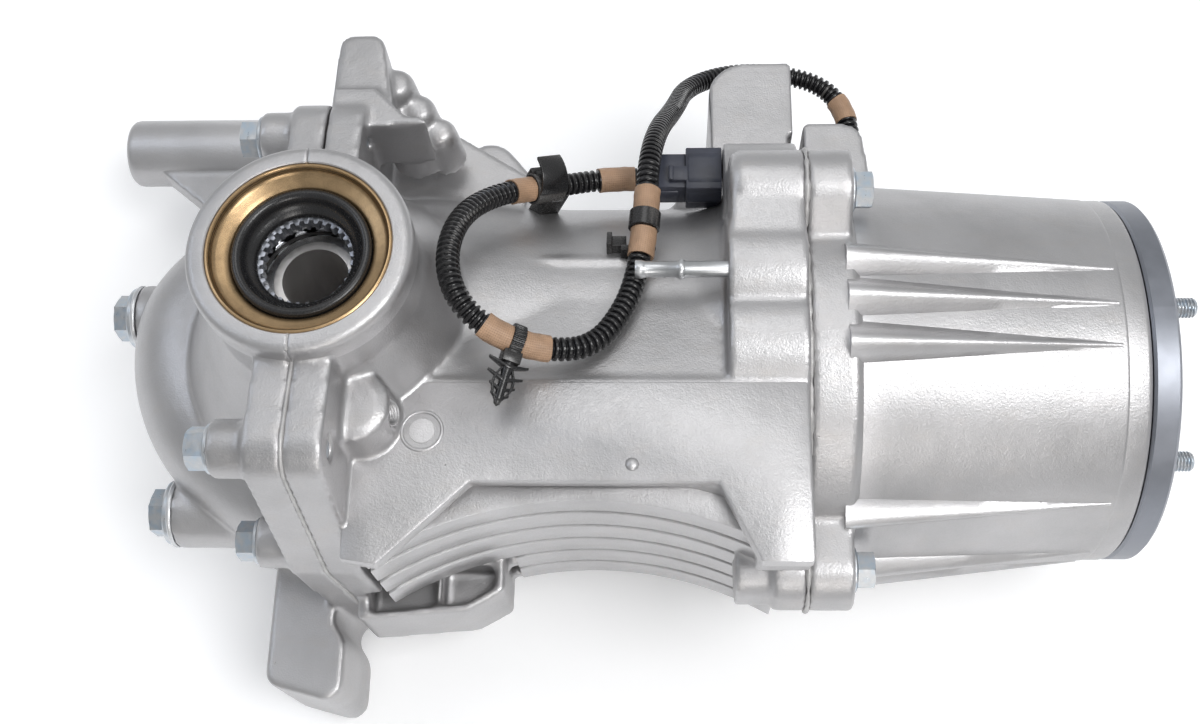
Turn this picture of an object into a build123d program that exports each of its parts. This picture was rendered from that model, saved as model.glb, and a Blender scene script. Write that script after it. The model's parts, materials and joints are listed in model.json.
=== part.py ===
from build123d import *
from math import acos, asin, atan2, cos, degrees, pi, radians, sin, sqrt, tan
import os

os.makedirs("parts", exist_ok=True)

# Rear final drive with a multi-plate coupling, lying on its side. X runs forward along the input shaft,
# Z along the axle, and the origin is the centre of the input flange face. All sizes in millimetres.

# Main stations
AXLE_X = -308.0          # axle axis, measured from the input flange face
PORT_TOP = 124.0         # upper axle port face above the input axis
PORT_LOW = -92.0         # lower axle port face, which the unit rests on
JOINT_X = -133.0         # joint face between main housing and coupling case
CASE_END_X = -12.0       # front end of the coupling case
WALL = 6.5               # casting wall
GASKET = 0.6             # paper gasket thickness

# Axle ports and carrier bearings
BOSS_R = 38.5
SEAL_R = 32.0            # seal bore
SEAL_DEPTH = 12.0
CUP_R = 27.5             # bearing cup seat
SHOULDER_R = 24.0        # lip that backs the cup
HUB_R = 15.0             # bearing cone bore
HUB_BORE_R = 12.0        # way through the hubs for the axle shafts
LIP_R = 16.5             # seal lip
CONE_W = 17.0
CUP_W = 13.0
BEARING_T = 17.0
TOP_SHOULDER = 78.0      # hub shoulders that the bearing cones rest on
LOW_SHOULDER = -57.0

# Final drive, straight bevel teeth on intersecting axes
RING_TEETH = 38
PINION_TEETH = 15
RING_PITCH_R = 68.0
FACE_W = 21.0
DRIVE_PRESSURE = radians(22.5)
DRIVE_SHIFT = 0.18
DRIVE_BACKLASH = 0.30
RING_BACK = 48.0         # ring gear back face below the input axis
RING_BORE_R = 43.0
RING_BOLT_R = 56.0
RING_BOLTS = 10

# Differential gears
SIDE_TEETH = 16
SPIDER_TEETH = 10
SIDE_PITCH_R = 24.0
DIFF_FACE_W = 9.5
DIFF_PRESSURE = radians(25.0)
DIFF_SHIFT = 0.22
DIFF_BACKLASH = 0.30
SPHERE_R = 34.4          # inside of the differential case
CASE_R = 42.0
CASE_FLANGE_R = 66.0
CASE_FLANGE_T = 9.0
SIDE_BACK = 24.0         # side gear back face from the differential centre
SIDE_HUB_R = 17.0
SIDE_BORE_R = 11.5
WASHER_T = 1.2
RUN = 0.08               # running clearance on radius
PIN_R = 7.5

# Split flange of main housing and rear cover, bolt centres as (Y, Z)
COVER_BOLTS = [(-66, 106), (-80, 40), (-76, -68), (76, -68), (84, -12), (80, 46), (61, 91)]
COVER_EAR_R = 12.5
COVER_DOWELS = [(-74, 74), (82, -44)]
MAIN_FLANGE_T = 13.0
COVER_FLANGE_T = 13.0
BOLT_R = 4.0             # M8 fasteners
HOLE_R = 4.3
HEAD_AF = 13.0           # across flats
HEAD_H = 5.5
FLANGE_HEAD_R = 8.5
DOWEL_R = 5.0

# Rear cover
DOME_R = 96.0
DOME_Y = 12.0            # centre of the dome
CHAMBER_R = 73.0
PLUG_Y_FILL = 28.0
PLUG_Y_DRAIN = -58.0
PLUG_BOSS_R = 14.0
PLUG_THREAD_R = 9.0
PLUG_FACE_FILL = -407.0
PLUG_FACE_DRAIN = -380.0
ARM_Y = 134.0
ARM_Z = -42.0
ARM_R = 15.5
ARM_END_X = -441.0
LOWER_ARM_Y = -124.0
LOWER_ARM_X = -346.0

# Neck, pinion bore and coupling case
NECK_R = 70.0
FLANGE_R = 81.0          # round part of the joint flange
CASE_FLANGE_X = 17.5     # joint flange thickness of the coupling case
CASE_BOLTS = [(47, 75), (-86, 26), (-44, -77), (78, -43)]
CASE_EAR_R = 15.0
CASE_BODY_R = 79.0
CASE_NOSE_R = 72.0
PINION_TUBE_R = 45.0
PINION_CUP_R = 36.0      # large bearing cup
OUTER_CUP_R = 31.0       # small bearing cup
PINION_LAND_R = 27.0     # land between the two cups
INNER_SEAT_X = -213.0    # shoulder of the large pinion bearing cup
OUTER_SEAT_X = -183.0    # shoulder of the small pinion bearing cup
PINION_CUP_W = 15.0
SHAFT_R = 17.5
SHAFT_END_X = -78.0

# Input flange, studs and clutch
FLANGE_DISC_R = 72.5
FLANGE_T = 10.0
FLANGE_SEAT_X = -2.0       # face around the stud circle
STUD_PCD = 84.0
STUD_KNURL_R = 4.5         # press shoulder of a stud
STUD_ANGLES = [70, 160, 250, 340]
STUD_LEN = 19.0
INPUT_HUB_R = 24.0
INPUT_SEAL_R = 34.0
BALL_BORE_R = 20.0
BALL_CUP_R = 40.0
BALL_X0 = -42.0
BALL_X1 = -24.0
DRUM_R = 60.0
DRUM_WALL = 3.5
PLATE_PITCH = 4.8
PLATE_T = 2.0
OUTER_PLATES = 8
PLATE_FIRST_X = -66.0
CLUTCH_HUB_R = 38.0
PISTON_TRAVEL = 2.0

# Harness
CONDUIT_R = 4.2

AXLE = Axis((AXLE_X, 0, 0), (0, 0, 1))
SPLIT = Plane(origin=(AXLE_X, 0, 0), x_dir=(0, 1, 0), z_dir=(1, 0, 0))
SPLIT_BACK = Plane(origin=(AXLE_X, 0, 0), x_dir=(0, -1, 0), z_dir=(-1, 0, 0))
AXLE_SECTION = Plane(origin=(AXLE_X, 0, 0), x_dir=(1, 0, 0), z_dir=(0, -1, 0))
JOINT = Plane(origin=(JOINT_X, 0, 0), x_dir=(0, 1, 0), z_dir=(1, 0, 0))


def finish(part, name):
    """Label a piece and write it."""
    part.label = name
    export_step(part, "parts/" + name + ".step")


def cross_plane(x):
    """Plane across the input axis at station x: local x is Y, local y is Z, normal forward."""
    return Plane(origin=(x, 0, 0), x_dir=(0, 1, 0), z_dir=(1, 0, 0))


def outline(points, plane):
    """Closed straight-sided face on a plane."""
    with BuildSketch(plane) as face:
        with BuildLine():
            Polyline(*points, close=True)
        make_face()
    return face.sketch


def soft_outline(points, plane, radius):
    """Face between the open, rounded polyline and the straight line that closes it."""
    with BuildSketch(plane) as face:
        with BuildLine() as edge:
            FilletPolyline(*points, radius=radius)
            Line(edge.line @ 1, edge.line @ 0)
        make_face()
    return face.sketch


def ring_outline(x0, x1, r0, r1, plane=Plane.XZ):
    """Rectangle of a ring section: stations x0..x1, radii r0..r1, to turn about the input axis."""
    return outline([(x0, r0), (x1, r0), (x1, r1), (x0, r1)], plane)


def axle_ring(r0, r1, z0, z1):
    """Rectangle of a ring section about the axle axis."""
    return outline([(r0, z0), (r1, z0), (r1, z1), (r0, z1)], AXLE_SECTION)


def discs(plane, points, radius):
    """Circles of one size on a plane."""
    with BuildSketch(plane) as face:
        with Locations(*points):
            Circle(radius)
    return face.sketch


def hexagons(plane, points, across_flats):
    """Hexagons of one size on a plane."""
    with BuildSketch(plane) as face:
        with Locations(*points):
            RegularPolygon(across_flats / 2, 6, major_radius=False)
    return face.sketch


def split_outline(plane, port_half=30.0):
    """Split flange: a hull round the bolt ears, with the strip across the two axle ports."""
    with BuildSketch(plane) as face:
        mirrored = -1 if plane.x_dir.Y < 0 else 1
        with Locations(*[(mirrored * y, z) for y, z in COVER_BOLTS]):
            Circle(COVER_EAR_R)
        make_hull()
        with Locations((0, (PORT_TOP + PORT_LOW) / 2)):
            Rectangle(2 * port_half, PORT_TOP - PORT_LOW)
    return face.sketch


def joint_outline(plane):
    """Joint flange: a disc with four bolt ears."""
    with BuildSketch(plane) as face:
        Circle(FLANGE_R)
        for y, z in CASE_BOLTS:
            with BuildSketch(Plane.XY, mode=Mode.PRIVATE) as ear:
                with Locations((y, z)):
                    Circle(CASE_EAR_R)
                with Locations((y * 0.55, z * 0.55)):
                    Circle(CASE_EAR_R + 9)
                make_hull()
            add(ear.sketch)
    return face.sketch


# Shapes shared by the two halves of the gear chamber, as (radius, height) about the axle
CHAMBER_INSIDE = [(0, -66), (62, -66), (CHAMBER_R, -52), (CHAMBER_R, -14), (50, 44), (33, 72), (33, 80), (0, 80)]
MAIN_BELL = [
    (0, PORT_LOW), (BOSS_R, PORT_LOW), (BOSS_R, -82), (66, -74), (80, -60), (80, -10), (68, 34),
    (49, 76), (BOSS_R, 98), (BOSS_R, PORT_TOP), (0, PORT_TOP),
]
COVER_BELL = [
    (0, PORT_LOW), (BOSS_R, PORT_LOW), (BOSS_R, -82), (66, -74), (80, -60), (80, -10), (66, 34),
    (48, 68), (BOSS_R, 90), (BOSS_R, PORT_TOP), (0, PORT_TOP),
]
TOP_CUP_Z = TOP_SHOULDER + BEARING_T     # outer face of the upper bearing cup
LOW_CUP_Z = LOW_SHOULDER - BEARING_T     # outer face of the lower bearing cup


def cut_ports():
    """Outlines of the bearing and seal bores of both ports, about the axle."""
    return [
        axle_ring(0, CUP_R, 70, TOP_CUP_Z),
        axle_ring(0, SHOULDER_R, 90, PORT_TOP),
        axle_ring(0, SEAL_R, PORT_TOP - SEAL_DEPTH, PORT_TOP + 1),
        axle_ring(0, CUP_R, LOW_CUP_Z, -60),
        axle_ring(0, SHOULDER_R, PORT_LOW - 1, -60),
        axle_ring(0, SEAL_R, PORT_LOW - 1, PORT_LOW + SEAL_DEPTH),
    ]


# Main housing
PAD_TOP = 78.0           # flat face beside the input axis
PAD_T = 7.0
FIN_T = 4.5
FIN_LEVELS = [56.0, 38.0, 20.0, 2.0, -16.0, -34.0]
MOTOR_BOSS = (58.0, 44.0)
MOTOR_BOSS_R = 24.0
ROUND_BOSS = (-12.0, 58.0)
ROUND_BOSS_R = 27.0
BOSS_BACK_X = -162.0
MOTOR_R = 14.0
PAD_X0 = -166.0          # front mount pad
PAD_FACE_X = JOINT_X + 2.0
PAD_Y = 134.0
PAD_Z_TOP = 30.0
PINION_MOUTH_R = 36.0
PIPE_BOSS = (15.0, 64.0)
PIPE_BOSS_R = 24.5
PIPE_Y = 10.5
PIPE_Z = 83.0
PIPE_R = 2.6
MOTOR_BACK_X = -156.0
PISTON_BORE_R = 57.0
PISTON_BORE_X = -166.0
SOCKET_R = 7.0
PLUG_AXIS = (66.0, 51.0)
DOWEL_LEN = 16.0
PAD_HOLES = [(114, 8), (114, -60)]
PAD_HOLE_R = 6.0

with BuildPart() as main_housing:
    # split flange and bell-shaped gear chamber
    extrude(split_outline(SPLIT), amount=MAIN_FLANGE_T)
    revolve(soft_outline(MAIN_BELL, SPLIT_BACK, 7), axis=AXLE, revolution_arc=180)
    # round neck, waisted in the middle
    neck = [(-300, 0), (-300, 76), (-272, 76), (-225, NECK_R), (-172, NECK_R), (-145, 79), (JOINT_X, 79), (JOINT_X, 0)]
    revolve(soft_outline(neck, Plane.XZ, [18, 30, 30, 30, 10, 1]), axis=Axis.X)
    # joint flange and the bosses behind it
    extrude(joint_outline(JOINT), amount=-12)
    for (y, z), r in ((MOTOR_BOSS, MOTOR_BOSS_R), (ROUND_BOSS, ROUND_BOSS_R), (PIPE_BOSS, PIPE_BOSS_R)):
        extrude(discs(JOINT, [(y, z)], r), amount=BOSS_BACK_X - JOINT_X)
    extrude(discs(JOINT, CASE_BOLTS, CASE_EAR_R - 2), amount=-26)
    # flat side pad with the cooling fins under its lower edge
    pad = [(-296, -30), (-296, -96), (-283, -98), (-252, -68), (-166, -68), (-152, -96), (-140, -96), (-140, -30)]
    extrude(outline(pad, Plane.XY.offset(PAD_TOP - PAD_T)), amount=PAD_T)
    for level in FIN_LEVELS:
        with BuildSketch(Plane.XY.offset(level)) as fin:
            with BuildLine():
                ThreePointArc((-290, -94), (-205, -72), (-142, -90))
                Polyline((-142, -90), (-142, -30), (-290, -30), (-290, -94))
            make_face()
        extrude(amount=FIN_T)
    # wall behind the fins, following them
    with BuildSketch(Plane.XY.offset(-60)) as lower_wall:
        with BuildLine():
            ThreePointArc((-296, -82), (-205, -63), (-140, -80))
            Polyline((-140, -80), (-140, -20), (-296, -20), (-296, -82))
        make_face()
    extrude(amount=PAD_TOP + 55)
    # front mount pad with its web to the neck
    with BuildSketch(Plane.XY.offset(PORT_LOW)) as mount_pad:
        with BuildLine():
            FilletPolyline(
                (JOINT_X, 40), (JOINT_X, 99), (PAD_FACE_X, 99), (PAD_FACE_X, PAD_Y), (PAD_X0, PAD_Y), (PAD_X0, 84),
                (-190, 56), radius=[0, 0, 2, 15, 18],
            )
            Polyline((-190, 56), (-190, 40), (JOINT_X, 40))
        make_face()
    extrude(amount=PAD_Z_TOP - PORT_LOW)
    # upper lug on the split flange, with its gusset
    with BuildSketch(Plane.XY.offset(72)) as lug:
        with BuildLine():
            FilletPolyline(
                (AXLE_X, 60), (AXLE_X, 106), (AXLE_X + 13, 106), (AXLE_X + 20, 86), (AXLE_X + 36, 62),
                radius=[4, 5, 8],
            )
            Line((AXLE_X + 36, 62), (AXLE_X, 60))
        make_face()
    extrude(amount=28)
    # shelf and tab on the far flank
    extrude(outline([(-306, 40), (-306, 88), (-268, 88), (-240, 70), (-240, 40)], Plane.XY.offset(34)), amount=14)
    with BuildSketch(Plane.XY.offset(-14)) as tab:
        with Locations((-262, 100)):
            Circle(12)
        with Locations((-240, 60)):
            Circle(20)
        with Locations((-285, 60)):
            Circle(20)
        make_hull()
    extrude(amount=16)
    # box under the lower left corner
    extrude(outline([(-306, -60), (-306, -100), (-262, -96), (-248, -88), (-248, -60)], Plane.XY.offset(-44)), amount=40)
    # tapped boss beside the port
    extrude(discs(Plane.XY.offset(60), [(-292, -46)], 13), amount=34)

    # gear chamber, pinion mouth and bores
    revolve(outline(CHAMBER_INSIDE, AXLE_SECTION), axis=AXLE, mode=Mode.SUBTRACT)
    for bore in cut_ports():
        revolve(bore, axis=AXLE, mode=Mode.SUBTRACT)
    revolve(ring_outline(AXLE_X, INNER_SEAT_X, 0, PINION_MOUTH_R), axis=Axis.X, mode=Mode.SUBTRACT)
    revolve(ring_outline(-260, OUTER_SEAT_X, 0, PINION_LAND_R), axis=Axis.X, mode=Mode.SUBTRACT)
    revolve(ring_outline(OUTER_SEAT_X, JOINT_X + 1, 0, OUTER_CUP_R), axis=Axis.X, mode=Mode.SUBTRACT)
    # annular pocket for the piston, open at the joint face
    revolve(ring_outline(-224, PISTON_BORE_X, PINION_TUBE_R, NECK_R - WALL), axis=Axis.X, mode=Mode.SUBTRACT)
    revolve(ring_outline(-224, JOINT_X + 1, PINION_TUBE_R, PISTON_BORE_R), axis=Axis.X, mode=Mode.SUBTRACT)
    # actuator pocket and the way for its socket
    extrude(discs(JOINT, [MOTOR_BOSS], MOTOR_R + RUN), amount=-(JOINT_X - MOTOR_BACK_X), mode=Mode.SUBTRACT)
    extrude(discs(cross_plane(-151), [PLUG_AXIS], SOCKET_R + RUN), amount=-30, mode=Mode.SUBTRACT)
    # tapped and dowel holes
    extrude(discs(SPLIT, COVER_BOLTS, BOLT_R), amount=MAIN_FLANGE_T, mode=Mode.SUBTRACT)
    extrude(discs(SPLIT, COVER_DOWELS, DOWEL_R), amount=DOWEL_LEN / 2, mode=Mode.SUBTRACT)
    extrude(discs(JOINT, CASE_BOLTS, BOLT_R), amount=-20, mode=Mode.SUBTRACT)
    extrude(discs(Plane.XY.offset(94), [(-292, -46)], BOLT_R), amount=-20, mode=Mode.SUBTRACT)
    # breather bore
    extrude(discs(cross_plane(BOSS_BACK_X - 8), [(PIPE_Y, PIPE_Z)], PIPE_R), amount=22, mode=Mode.SUBTRACT)
    # front pad: two tapped holes in the mount face
    extrude(discs(cross_plane(PAD_FACE_X), PAD_HOLES, PAD_HOLE_R), amount=-24, mode=Mode.SUBTRACT)
    # trim everything behind the split plane
    extrude(outline([(-150, -150), (150, -150), (150, 150), (-150, 150)], SPLIT_BACK), amount=60, mode=Mode.SUBTRACT)

print("main housing", main_housing.part.volume, len(main_housing.part.solids()))
finish(main_housing.part, "main_housing")

# Rear cover
COVER_FACE_X = AXLE_X - GASKET
COVER_FACE = Plane(origin=(COVER_FACE_X, 0, 0), x_dir=(0, -1, 0), z_dir=(-1, 0, 0))
COVER_BOSS_R = 10.0
HEAD_SEAT_X = -334.0     # cover bolt heads
DOME_LOW_Y = 92.0
DOME_HIGH_Y = 68.0
DOME_LOW = -64.0
DOME_TOP = 38.0
DOME_FILLET = 30.0
ARM_HOLE_R = 6.0


def facing_back(points):
    """Points given as (Y, Z), for a plane that looks backwards."""
    return [(-y, z) for y, z in points]


def dome_outline(z, inset):
    """Dome seen along the axle: two half ellipses, the one towards -Y being the deeper."""
    with BuildSketch(Plane.XY.offset(z)) as face:
        with Locations((AXLE_X, DOME_Y)):
            Ellipse(DOME_R - inset, DOME_LOW_Y - inset)
        with Locations((AXLE_X, DOME_Y + 100)):
            Rectangle(300, 200, mode=Mode.SUBTRACT)
        with BuildSketch(Plane.XY, mode=Mode.PRIVATE) as upper:
            with Locations((AXLE_X, DOME_Y)):
                Ellipse(DOME_R - inset, DOME_HIGH_Y - inset)
            with Locations((AXLE_X, DOME_Y - 100)):
                Rectangle(300, 200, mode=Mode.SUBTRACT)
        add(upper.sketch)
    return face.sketch


def dome_solid(inset):
    """Dome body, drawn in by the wall for its inside."""
    with BuildPart() as body:
        extrude(dome_outline(DOME_LOW + inset, inset), amount=DOME_TOP - DOME_LOW - 2 * inset)
        fillet(body.faces().sort_by(Axis.Z)[-1].edges(), DOME_FILLET - inset)
        fillet(body.faces().sort_by(Axis.Z)[0].edges(), DOME_FILLET / 2 - inset)
    return body.part


dome = dome_solid(0)
dome_inside = dome_solid(WALL)

with BuildPart() as rear_cover:
    extrude(split_outline(COVER_FACE), amount=COVER_FLANGE_T)
    revolve(soft_outline(COVER_BELL, SPLIT, 7), axis=AXLE, revolution_arc=180)
    add(dome)
    # bolt bosses, with the room round the bolt heads and the drain plug
    extrude(discs(COVER_FACE, facing_back(COVER_BOLTS), COVER_BOSS_R), amount=COVER_FACE_X - HEAD_SEAT_X)
    extrude(discs(cross_plane(PLUG_FACE_DRAIN), [(PLUG_Y_DRAIN, 0)], PLUG_BOSS_R + 1), amount=-30, mode=Mode.SUBTRACT)
    # filler and drain bosses
    for face_x, y in ((PLUG_FACE_FILL, PLUG_Y_FILL), (PLUG_FACE_DRAIN, PLUG_Y_DRAIN)):
        extrude(discs(cross_plane(face_x), [(y, 0)], PLUG_BOSS_R), amount=-face_x - 345)
    # upper rear mount arm: a round bar with a web down to the dome
    extrude(discs(cross_plane(ARM_END_X), [(ARM_Y, ARM_Z)], ARM_R), amount=COVER_FACE_X - ARM_END_X)
    fillet(rear_cover.faces().sort_by(Axis.X)[0].edges(), 4)
    web = [(-432, ARM_Y - 8), (-395, 96), (-372, 56), (COVER_FACE_X, 50), (COVER_FACE_X, ARM_Y + 8), (-420, ARM_Y + 8)]
    extrude(outline(web, Plane.XY.offset(ARM_Z - 7)), amount=14)
    root = [(-338, 60), (-338, ARM_Y), (COVER_FACE_X, ARM_Y), (COVER_FACE_X, 60)]
    extrude(outline(root, Plane.XY.offset(ARM_Z - ARM_R + 1)), amount=2 * ARM_R - 2)
    # lower rear mount arm
    with BuildSketch(Plane.XY.offset(-80)) as lower_arm:
        with BuildLine():
            FilletPolyline(
                (LOWER_ARM_X, -60), (LOWER_ARM_X, LOWER_ARM_Y + 2), (-314, LOWER_ARM_Y - 6), (-314, -104), (-324, -92),
                (COVER_FACE_X, -84), (COVER_FACE_X, -60), radius=[7, 7, 14, 8, 1],
            )
            Line((COVER_FACE_X, -60), (LOWER_ARM_X, -60))
        make_face()
    extrude(amount=56)

    extrude(discs(cross_plane(HEAD_SEAT_X), COVER_BOLTS, COVER_BOSS_R), amount=-40, mode=Mode.SUBTRACT)
    # gear chamber and bores
    revolve(outline(CHAMBER_INSIDE, AXLE_SECTION), axis=AXLE, mode=Mode.SUBTRACT)
    add(dome_inside, mode=Mode.SUBTRACT)
    for bore in cut_ports():
        revolve(bore, axis=AXLE, mode=Mode.SUBTRACT)
    # plug holes, bolt holes, dowel holes and the tapped holes of the mount arms
    for face_x, y in ((PLUG_FACE_FILL, PLUG_Y_FILL), (PLUG_FACE_DRAIN, PLUG_Y_DRAIN)):
        extrude(discs(cross_plane(face_x), [(y, 0)], PLUG_THREAD_R), amount=40, mode=Mode.SUBTRACT)
    extrude(discs(COVER_FACE, facing_back(COVER_BOLTS), HOLE_R), amount=60, mode=Mode.SUBTRACT)
    extrude(discs(COVER_FACE, facing_back(COVER_DOWELS), DOWEL_R), amount=DOWEL_LEN / 2, mode=Mode.SUBTRACT)
    extrude(discs(cross_plane(ARM_END_X), [(ARM_Y, ARM_Z)], ARM_HOLE_R), amount=28, mode=Mode.SUBTRACT)
    extrude(discs(cross_plane(LOWER_ARM_X), [(-104, -51)], ARM_HOLE_R), amount=20, mode=Mode.SUBTRACT)
    # trim at the joint face
    extrude(outline([(-160, -160), (160, -160), (160, 160), (-160, 160)], COVER_FACE), amount=-120, mode=Mode.SUBTRACT)

print("rear cover", rear_cover.part.volume, len(rear_cover.part.solids()))
finish(rear_cover.part, "rear_cover")

with BuildPart() as cover_gasket:
    extrude(split_outline(COVER_FACE, BOSS_R - 0.4), amount=-GASKET)
    revolve(outline(CHAMBER_INSIDE, AXLE_SECTION), axis=AXLE, mode=Mode.SUBTRACT)
    for bore in cut_ports():
        revolve(bore, axis=AXLE, mode=Mode.SUBTRACT)
    extrude(discs(COVER_FACE, facing_back(COVER_BOLTS), HOLE_R), amount=-2, mode=Mode.SUBTRACT)
    extrude(discs(COVER_FACE, facing_back(COVER_DOWELS), DOWEL_R), amount=-2, mode=Mode.SUBTRACT)
finish(cover_gasket.part, "cover_gasket")

# Coupling case
CASE_FACE_X = JOINT_X + GASKET
CASE_FACE = cross_plane(CASE_FACE_X)
CASE_FRONT_X = JOINT_X + CASE_FLANGE_X
CASE_INSIDE_R = 68.0
FRONT_WALL_X = -47.0     # inner face of the front wall
RIB_ROOT_R = 84.5
RIB_ROOT_W = 10.0
RIB_ANGLES = [12.5, 1.0, -11.5, -60.0, -86.5, 100.0, 168.0, 180.0, 192.0, 258.0]
LUG_Y = 104.0
LUG_Z0 = 8.0
LUG_Z1 = 30.0


def radial_box(station, angle, width, r0, r1):
    """Small rectangle across the input axis, standing on radius r0 at an angle from +Z towards +Y."""
    a = radians(angle)
    along = (sin(a), cos(a))
    side = (cos(a), -sin(a))
    corners = []
    for r, w in ((r0, -width / 2), (r0, width / 2), (r1, width / 2 * 0.45), (r1, -width / 2 * 0.45)):
        corners.append((r * along[0] + w * side[0], r * along[1] + w * side[1]))
    return outline(corners, cross_plane(station))


with BuildPart() as coupling_case:
    extrude(joint_outline(CASE_FACE), amount=CASE_FRONT_X - CASE_FACE_X)
    body = [
        (CASE_FRONT_X - 2, 0), (CASE_FRONT_X - 2, CASE_BODY_R), (-22, CASE_NOSE_R + 1), (-18, CASE_NOSE_R - 1),
        (-18, CASE_NOSE_R - 3), (CASE_END_X, CASE_NOSE_R - 3), (CASE_END_X, 0),
    ]
    revolve(outline(body, Plane.XZ), axis=Axis.X)
    # wedge ribs that run out towards the nose
    for angle in RIB_ANGLES:
        root = radial_box(CASE_FRONT_X - 2, angle, RIB_ROOT_W, 70, RIB_ROOT_R)
        tip = radial_box(-20, angle, 1.2, 70, CASE_NOSE_R + 1.3)
        loft([root.faces()[0], tip.faces()[0]])
    # lug beside the front mount pad
    with BuildSketch(Plane.XY.offset(LUG_Z0)) as case_lug:
        with BuildLine():
            FilletPolyline(
                (PAD_FACE_X + 4, 70), (PAD_FACE_X + 4, LUG_Y), (-103, LUG_Y), (-99, 70), radius=[2, 9],
            )
            Line((-99, 70), (PAD_FACE_X + 4, 70))
        make_face()
    extrude(amount=LUG_Z1 - LUG_Z0)
    # seat of the harness gland
    extrude(discs(Plane.XZ.offset(-88), [(-102, -2)], 8.5), amount=20)
    # inside
    inside = [
        (CASE_FACE_X - 1, 0), (CASE_FACE_X - 1, CASE_INSIDE_R), (-60, CASE_INSIDE_R - 3), (FRONT_WALL_X, 58),
        (FRONT_WALL_X, 0),
    ]
    revolve(outline(inside, Plane.XZ), axis=Axis.X, mode=Mode.SUBTRACT)
    revolve(ring_outline(FRONT_WALL_X - 1, BALL_X1, 0, BALL_CUP_R), axis=Axis.X, mode=Mode.SUBTRACT)
    revolve(ring_outline(BALL_X1 - 1, CASE_END_X + 1, 0, INPUT_SEAL_R), axis=Axis.X, mode=Mode.SUBTRACT)
    extrude(discs(CASE_FACE, CASE_BOLTS, HOLE_R), amount=40, mode=Mode.SUBTRACT)
    extrude(discs(Plane.XZ.offset(-88), [(-102, -2)], 4.0), amount=30, mode=Mode.SUBTRACT)

print("coupling case", coupling_case.part.volume, len(coupling_case.part.solids()))
finish(coupling_case.part, "coupling_case")

with BuildPart() as case_gasket:
    extrude(joint_outline(JOINT), amount=GASKET)
    extrude(discs(JOINT, [(0, 0)], CASE_INSIDE_R), amount=GASKET, mode=Mode.SUBTRACT)
    extrude(discs(JOINT, CASE_BOLTS, HOLE_R), amount=GASKET, mode=Mode.SUBTRACT)
finish(case_gasket.part, "case_gasket")


# Fasteners
def bolt_group(seat, direction, points, length):
    """Flanged hexagon bolts: the seat station, +1 or -1 for the side of the head, centres, shank length."""
    plane = cross_plane(seat)
    with BuildPart() as group:
        extrude(discs(plane, points, BOLT_R), amount=-direction * length)
        extrude(discs(plane, points, FLANGE_HEAD_R), amount=direction * 1.6)
        extrude(hexagons(plane, points, HEAD_AF), amount=direction * (HEAD_H + 1.6))
    return group.part


COVER_BOLT_LEN = AXLE_X - HEAD_SEAT_X + MAIN_FLANGE_T - 1
CASE_BOLT_LEN = CASE_FLANGE_X + 18
finish(bolt_group(HEAD_SEAT_X, -1, COVER_BOLTS, COVER_BOLT_LEN), "cover_bolts")
finish(bolt_group(CASE_FRONT_X, 1, CASE_BOLTS, CASE_BOLT_LEN), "case_bolts")

with BuildPart() as cover_dowels:
    extrude(discs(cross_plane(AXLE_X - DOWEL_LEN / 2 + 0.5), COVER_DOWELS, DOWEL_R), amount=DOWEL_LEN - 1)
    extrude(discs(cross_plane(AXLE_X - DOWEL_LEN / 2), COVER_DOWELS, DOWEL_R - 2), amount=DOWEL_LEN, mode=Mode.SUBTRACT)
finish(cover_dowels.part, "cover_dowels")

PLUG_WASHER_T = 1.8


PLUG_AF = 17.0
PLUG_HEAD_H = 9.0
PLUG_SEATS = ((PLUG_FACE_FILL, PLUG_Y_FILL), (PLUG_FACE_DRAIN, PLUG_Y_DRAIN))

# Filler and drain plug: collared hexagons, each standing on its washer
with BuildPart() as oil_plugs:
    for face_x, y in PLUG_SEATS:
        seat = cross_plane(face_x - PLUG_WASHER_T)
        extrude(discs(seat, [(y, 0)], PLUG_THREAD_R), amount=PLUG_WASHER_T + 12)
        extrude(discs(seat, [(y, 0)], PLUG_BOSS_R - 1), amount=-3)
        extrude(hexagons(seat, [(y, 0)], PLUG_AF), amount=-PLUG_HEAD_H)
finish(oil_plugs.part, "oil_plugs")
with BuildPart() as plug_washers:
    for face_x, y in PLUG_SEATS:
        extrude(discs(cross_plane(face_x), [(y, 0)], PLUG_BOSS_R), amount=-PLUG_WASHER_T)
        extrude(discs(cross_plane(face_x), [(y, 0)], PLUG_THREAD_R), amount=-PLUG_WASHER_T, mode=Mode.SUBTRACT)
finish(plug_washers.part, "plug_washers")

# Breather pipe, pressed into the round boss
PIPE_END_X = -195.5
with BuildPart() as breather_pipe:
    tube = [
        (PIPE_END_X, 1.7), (PIPE_END_X, 3.0), (PIPE_END_X + 3, 3.0), (PIPE_END_X + 3.6, PIPE_R), (-180, PIPE_R),
        (-179.3, 3.3), (-178, 3.3), (-177.3, PIPE_R), (BOSS_BACK_X + 12, PIPE_R), (BOSS_BACK_X + 12, 1.7),
    ]
    pipe_section = Plane(origin=(0, PIPE_Y, PIPE_Z), x_dir=(1, 0, 0), z_dir=(0, -1, 0))
    revolve(outline(tube, pipe_section), axis=Axis((0, PIPE_Y, PIPE_Z), (1, 0, 0)))
finish(breather_pipe.part, "breather_pipe")

# Axle seals: a stepped case pressed into the port and the lip inside it
SEAL_CASE = [(SEAL_R, -11.5), (SEAL_R, 0), (28.8, 0), (27.8, -3), (23.6, -3), (23.6, -4.6), (29.6, -4.6), (30.6, -11.5)]
SEAL_LIP = [(23.6, -3), (23.6, -4.6), (21.6, -5.2), (20.6, -11.5), (LIP_R, -12.5), (LIP_R, -11), (18.6, -9), (19, -3)]


def port_points(points, face_z, side):
    """Section points given as (radius, depth below the port face)."""
    return [(r, face_z + side * depth) for r, depth in points]


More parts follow.
